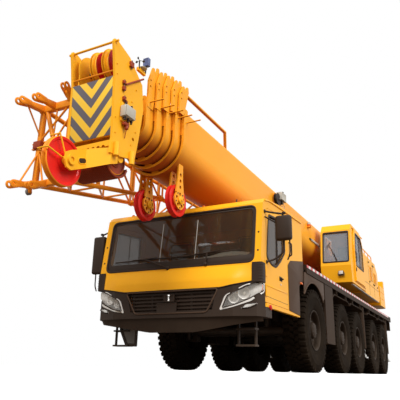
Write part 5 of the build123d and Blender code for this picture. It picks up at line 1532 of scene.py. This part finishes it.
# ---------------------------------------------------------------- boom
def add_boom_fittings():
    """Cable reel, lamp and hose clips on the boom's left side."""
    y = BOOM_SIDE
    # cable reel and its switch box on the boom's left side
    pieces = [
        block("reel_foot", (0.95, 1.38), (y - 0.003, y + 0.022), (3.56, 3.80), ORANGE, 0.006),
        block("switch_box", (0.92, 1.22), (y + 0.018, y + 0.15), (3.68, 3.86), PALE, 0.012, 2, 0.016, 0.006),
        turned("reel", [(0.03, 0), (0.14, 0.004), (0.145, 0.016), (0.09, 0.024), (0.09, 0.056),
                        (0.145, 0.064), (0.14, 0.078), (0.03, 0.082)], (1.30, y + 0.02, 3.66), Y, BLACK, 36,
               ring=True),
        turned("reel_nut", [(0.03, 0), (0.03, 0.10), (0.018, 0.112)], (1.30, y + 0.02, 3.66), Y, STEEL, 6),
        block("plug", (1.05, 1.13), (y + 0.04, y + 0.12), (3.60, 3.68), BLACK, 0.010),
        block("plug", (0.96, 1.02), (y + 0.05, y + 0.11), (3.86, 3.93), BLACK, 0.008),
        pipe("guard_loop", [(0.86, y + 0.06, 3.70), (0.80, y + 0.06, 3.62), (0.80, y + 0.06, 3.50),
                            (0.88, y + 0.06, 3.44), (0.96, y + 0.06, 3.50), (0.97, y + 0.06, 3.60)], 0.007,
             CHROME, 0.05, sides=2),
    ]
    fitted(joined("cable_reel", pieces), "boom", "black_plastic")
    # lamp on the boom, nearer the cab
    pieces = [
        block("lamp_foot", (-1.36, -1.24), (y - 0.003, y + 0.08), (3.66, 3.69), ORANGE, 0.006),
        turned("lamp_base", [(0.05, 0), (0.05, 0.05), (0.04, 0.06)], (-1.30, y + 0.045, 3.69), Z, AMBER, 20),
        turned("lamp_cap", [(0.042, 0), (0.044, 0.03), (0.03, 0.065), (0.003, 0.072)],
               (-1.30, y + 0.045, 3.75), Z, PALE, 20),
    ]
    fitted(joined("boom_lamp", pieces), "boom", "lamp_lens")
    # hose clips along the boom's lower left side
    pieces = []
    for step in range(10):
        x = -1.55 - 0.075 * step
        pieces.append(block("clip", (x - 0.018, x + 0.018), (y - 0.01, y + 0.035), (3.36, 3.42), PALE, 0.008))
    for step in range(3):
        pieces.append(pipe("hose_pipe", [(-1.40, y + 0.012, 3.375 + 0.016 * step),
                                         (-2.4, y + 0.012, 3.375 + 0.016 * step)], 0.007, BLACK, sides=2))
    fitted(joined("hose_clips", pieces), "boom", "black_plastic")


# ---------------------------------------------------------------- lattice jib
JIB_REAR, JIB_TAPER, JIB_FRONT = -2.2, 4.2, 6.86
JIB_Y, JIB_Z = (-1.35, -0.70), (2.96, 3.65)
FRONT_Y, FRONT_Z = (-1.06, -0.56), (2.39, 3.55)
JIB_BAYS = 7
CHORD_R, STRUT_R = 0.038, 0.018                 # of the straight length
FRONT_CHORD_R, FRONT_STRUT_R = 0.036, 0.017     # of the drawn-in length


def fork_arm(name, root, tip, width):
    """Box arm that ends in two round-ended eye plates."""
    root, tip = Vector(root), Vector(tip)
    way = (tip - root).normalized()
    length = (tip - root).length
    up = (Z - way * way.z).normalized()
    # shaped web of the arm, wide at its root
    web = panel(name, [(0, -0.050), (length - 0.09, -0.032), (length - 0.06, 0.0), (length - 0.09, 0.032),
                       (0, 0.050)], ORANGE, 2 * width, root, way, up, 0.005)
    pieces = [web]
    reach = 0.055
    eye = [(length - 0.16, -0.034), (length - 0.02, -reach)]
    for step in range(9):
        angle = radians(-80 + 160 * step / 8)
        eye.append((length + reach * cos(angle), reach * sin(angle)))
    eye += [(length - 0.02, reach), (length - 0.16, 0.034)]
    hole = [(length + 0.022 * cos(a * pi / 6), 0.022 * sin(a * pi / 6)) for a in range(12)]
    across = way.cross(up)
    for side in (1, -1):
        pieces.append(panel("eye", eye, ORANGE, 0.018, root + across * side * (width + 0.004), way, up, 0.003,
                            holes=(hole,)))
    return pieces


def add_jib():
    """Stowed lattice jib: straight length, drawn-in front length, end frame and arms."""
    pieces = []
    # straight length: four chords, then frames and zigzag bracing between them
    for y in JIB_Y:
        for z in JIB_Z:
            pieces.append(pipe("chord", [(JIB_REAR, y, z), (JIB_TAPER, y, z)], CHORD_R, ORANGE))
            for x in (JIB_TAPER - 0.014, JIB_TAPER + 0.014):
                pieces.append(turned("flange", [(0.037, -0.012), (0.058, -0.012), (0.058, 0.012),
                                                (0.037, 0.012)], (x, y, z), X, ORANGE, 20, ring=True))
            pieces.append(turned("chord_end", [(0.037, 0.0), (0.042, 0.004), (0.042, 0.018), (0.034, 0.026)],
                                 (JIB_REAR, y, z), X, ORANGE, 16))
    pitch = (JIB_TAPER - JIB_REAR) / JIB_BAYS
    for step in range(JIB_BAYS + 1):
        x = min(max(JIB_REAR + pitch * step, JIB_REAR + 0.04), JIB_TAPER - 0.06)
        for z in JIB_Z:
            pieces.append(pipe("strut", [(x, JIB_Y[0], z), (x, JIB_Y[1], z)], STRUT_R, ORANGE, sides=2))
        for y in JIB_Y:
            pieces.append(pipe("strut", [(x, y, JIB_Z[0]), (x, y, JIB_Z[1])], STRUT_R, ORANGE, sides=2))
        if step < JIB_BAYS:
            a, b = (x, JIB_REAR + pitch * (step + 1)) if step % 2 == 0 else (JIB_REAR + pitch * (step + 1), x)
            for y in JIB_Y:
                pieces.append(pipe("brace", [(a, y, JIB_Z[0]), (b, y, JIB_Z[1])], STRUT_R, ORANGE, sides=2))
            for z in JIB_Z:
                pieces.append(pipe("brace", [(a, JIB_Y[0], z), (b, JIB_Y[1], z)], STRUT_R, ORANGE, sides=2))
    # front length, drawn in and deepened towards its end frame
    def along(y_index, z_index, t):
        """Place at a share of one of the front chords."""
        return Vector((
            JIB_TAPER + (JIB_FRONT - JIB_TAPER) * t,
            JIB_Y[y_index] + (FRONT_Y[y_index] - JIB_Y[y_index]) * t,
            JIB_Z[z_index] + (FRONT_Z[z_index] - JIB_Z[z_index]) * t,
        ))

    for a in (0, 1):
        for b in (0, 1):
            pieces.append(pipe("chord", [along(a, b, 0), along(a, b, 1)], FRONT_CHORD_R, ORANGE))
    for low, high in ((0.02, 0.36), (0.36, 0.70), (0.70, 0.98)):
        for a in (0, 1):
            for ends in (
                (along(a, 0, low), along(a, 1, high)), (along(a, 0, low), along(a, 1, low)),
                (along(0, a, low), along(1, a, low)), (along(0, a, low), along(1, a, high)),
            ):
                pieces.append(pipe("brace", ends, FRONT_STRUT_R, ORANGE, sides=2))
    # end frame of box section, with a slanting inner leg
    x = (JIB_FRONT - 0.04, JIB_FRONT + 0.04)
    pieces.append(block("head_beam", x, (-1.12, -0.50), (3.49, 3.60), ORANGE, 0.010))
    pieces.append(block("foot_beam", x, (-1.12, -0.50), (2.34, 2.43), ORANGE, 0.010))
    pieces.append(block("outer_post", (x[0] + 0.005, x[1] - 0.005), (-1.10, -1.03), (2.36, 3.56), ORANGE,
                        0.008))
    pieces.append(pipe("inner_leg", [(JIB_FRONT, -1.0, 3.52), (JIB_FRONT, -0.60, 2.42)], 0.034, ORANGE))
    pieces.append(pipe("inner_post", [(JIB_FRONT, -0.56, 3.52), (JIB_FRONT, -0.56, 2.40)], 0.026, ORANGE))
    pieces.append(block("joint", (6.79, 6.93), (-1.13, -0.99), (2.92, 3.03), RUST, 0.012, 2, 0.014, 0.006))
    for z in (2.94, 3.02):
        pieces.append(block("joint_plate", (6.84, 6.88), (-1.20, -0.90), (z - 0.008, z + 0.008), ORANGE,
                            0.003))
    # arms with their eyes: root, tip, half width
    for root, tip, width in (
        ((6.88, -1.06, 3.545), (7.29, -1.09, 3.50), 0.04), ((6.88, -0.84, 3.555), (7.24, -0.84, 3.52), 0.03),
        ((6.86, -0.56, 3.58), (7.02, -0.56, 3.74), 0.03), ((6.88, -1.07, 2.385), (7.24, -1.09, 2.285), 0.04),
        ((6.88, -0.84, 2.37), (7.16, -0.84, 2.26), 0.03),
    ):
        pieces += fork_arm("arm", root, tip, width)
    # thin tie rods
    for start, end, radius in (
        ((7.17, -1.08, 3.50), (6.87, -1.06, 3.10), 0.012), ((6.87, -0.57, 3.30), (6.87, -0.80, 2.98), 0.014),
        ((6.87, -1.06, 2.88), (7.12, -1.08, 2.35), 0.014), ((6.87, -1.04, 2.84), (6.89, -0.90, 2.40), 0.014),
        ((6.87, -0.80, 3.49), (6.87, -0.82, 3.05), 0.012), ((6.87, -1.06, 2.92), (6.87, -0.62, 2.50), 0.016),
        ((6.87, -1.05, 3.06), (6.87, -0.62, 3.48), 0.016),
    ):
        pieces.append(pipe("tie_rod", [start, end], radius, ORANGE, sides=2))
    # small roller hung under the foot beam
    pieces.append(turned("foot_roller", [(0.012, -0.018), (0.045, -0.018), (0.045, 0.018), (0.012, 0.018)],
                         (7.06, -0.95, 2.21), Y, GREY, 24, ring=True))
    pieces.append(block("roller_lug", (7.03, 7.09), (-0.93, -0.92), (2.19, 2.33), ORANGE, 0.004))
    # saddles on the boom's side
    for x in (-1.2, 3.6):
        pieces.append(block("saddle", (x - 0.06, x + 0.06), (-0.71, -0.472), (3.42, 3.52), ORANGE, 0.010, 2,
                            0.016, 0.008))
        pieces.append(pipe("saddle_post", [(x, -0.70, 2.96), (x, -0.70, 3.65)], 0.030, ORANGE))
        pieces.append(turned("saddle_pin", [(0.022, -0.05), (0.026, -0.03), (0.026, 0.03), (0.022, 0.05)],
                             (x, -0.60, 3.53), Z, STEEL, 16))
    fitted(joined("jib_lattice", pieces), "boom", "orange_paint", "lattice_jib")


def add_rope_guard():
    """Ribbed guard under the lower sheaves."""
    x, z = LOW_SHEAVE
    rows = []
    for step in range(9):
        angle = radians(196 + 128 * step / 8)
        rows.append([(x + 0.232 * cos(angle), y, z + 0.232 * sin(angle)) for y in (-0.285, 0.285)])
    pieces = [sheet("guard_skin", rows, RUST, 0.008)]
    for step in range(20):
        y = -0.28 + 0.56 * step / 19
        arc = [(x + 0.244 * cos(radians(a)), y, z + 0.244 * sin(radians(a))) for a in range(200, 325, 15)]
        pieces.append(pipe("guard_rib", arc, 0.008, RUST, sides=1))
    fitted(joined("rope_guard", pieces), "section_6", "red_paint")


SLOT_X, SLOT_Z, SLOT_END_R = 7.235, 2.41, 0.036


def add_arm_slots():
    """Black plates on the nose arms as painted shade inside their slots, each with a raised lip round it."""
    slot = []
    for end, middle in ((-90, SLOT_END_R), (90, -SLOT_END_R)):
        for step in range(9):
            angle = radians(end + 22.5 * step)
            slot.append(Vector((middle + SLOT_END_R * cos(angle), SLOT_END_R * sin(angle), 0)))
    lean = Matrix.Rotation(radians(-20), 3, Z)
    slot = [lean @ point for point in slot]
    pieces = []
    for y in (0.083, -0.203):
        # black plate: painted shade where the slot's dark hollow is
        pieces.append(panel("slot_painted_shade", [(p.x, p.y) for p in slot], BLACK, 0.004, (SLOT_X, y, SLOT_Z), X, Z,
                            0.001))
        lip = [(SLOT_X + p.x, y, SLOT_Z + p.y) for p in slot]
        pieces.append(pipe("slot_lip", lip, 0.006, HEAD_YELLOW, closed=True, sides=2))
    fitted(joined("arm_slots", pieces), "section_6", "yellow_paint")


dress_solids()
add_camera()
add_floor()
add_lights()
SCENE.view_settings.view_transform = "Standard"

add_wheels()
add_head_sheaves()
add_rollers()
add_head_trim()
add_windscreen()
add_front_band()
add_corner_vents()
add_headlamps()
add_grille()
add_chin()
add_cab_sides()
add_cab_roof()
add_doors()
add_mirrors()
add_seats()
add_dash()
add_operator_cab()
add_housing_trim()
add_ropes()
add_boom_fittings()
add_jib()
add_rope_guard()
add_arm_slots()
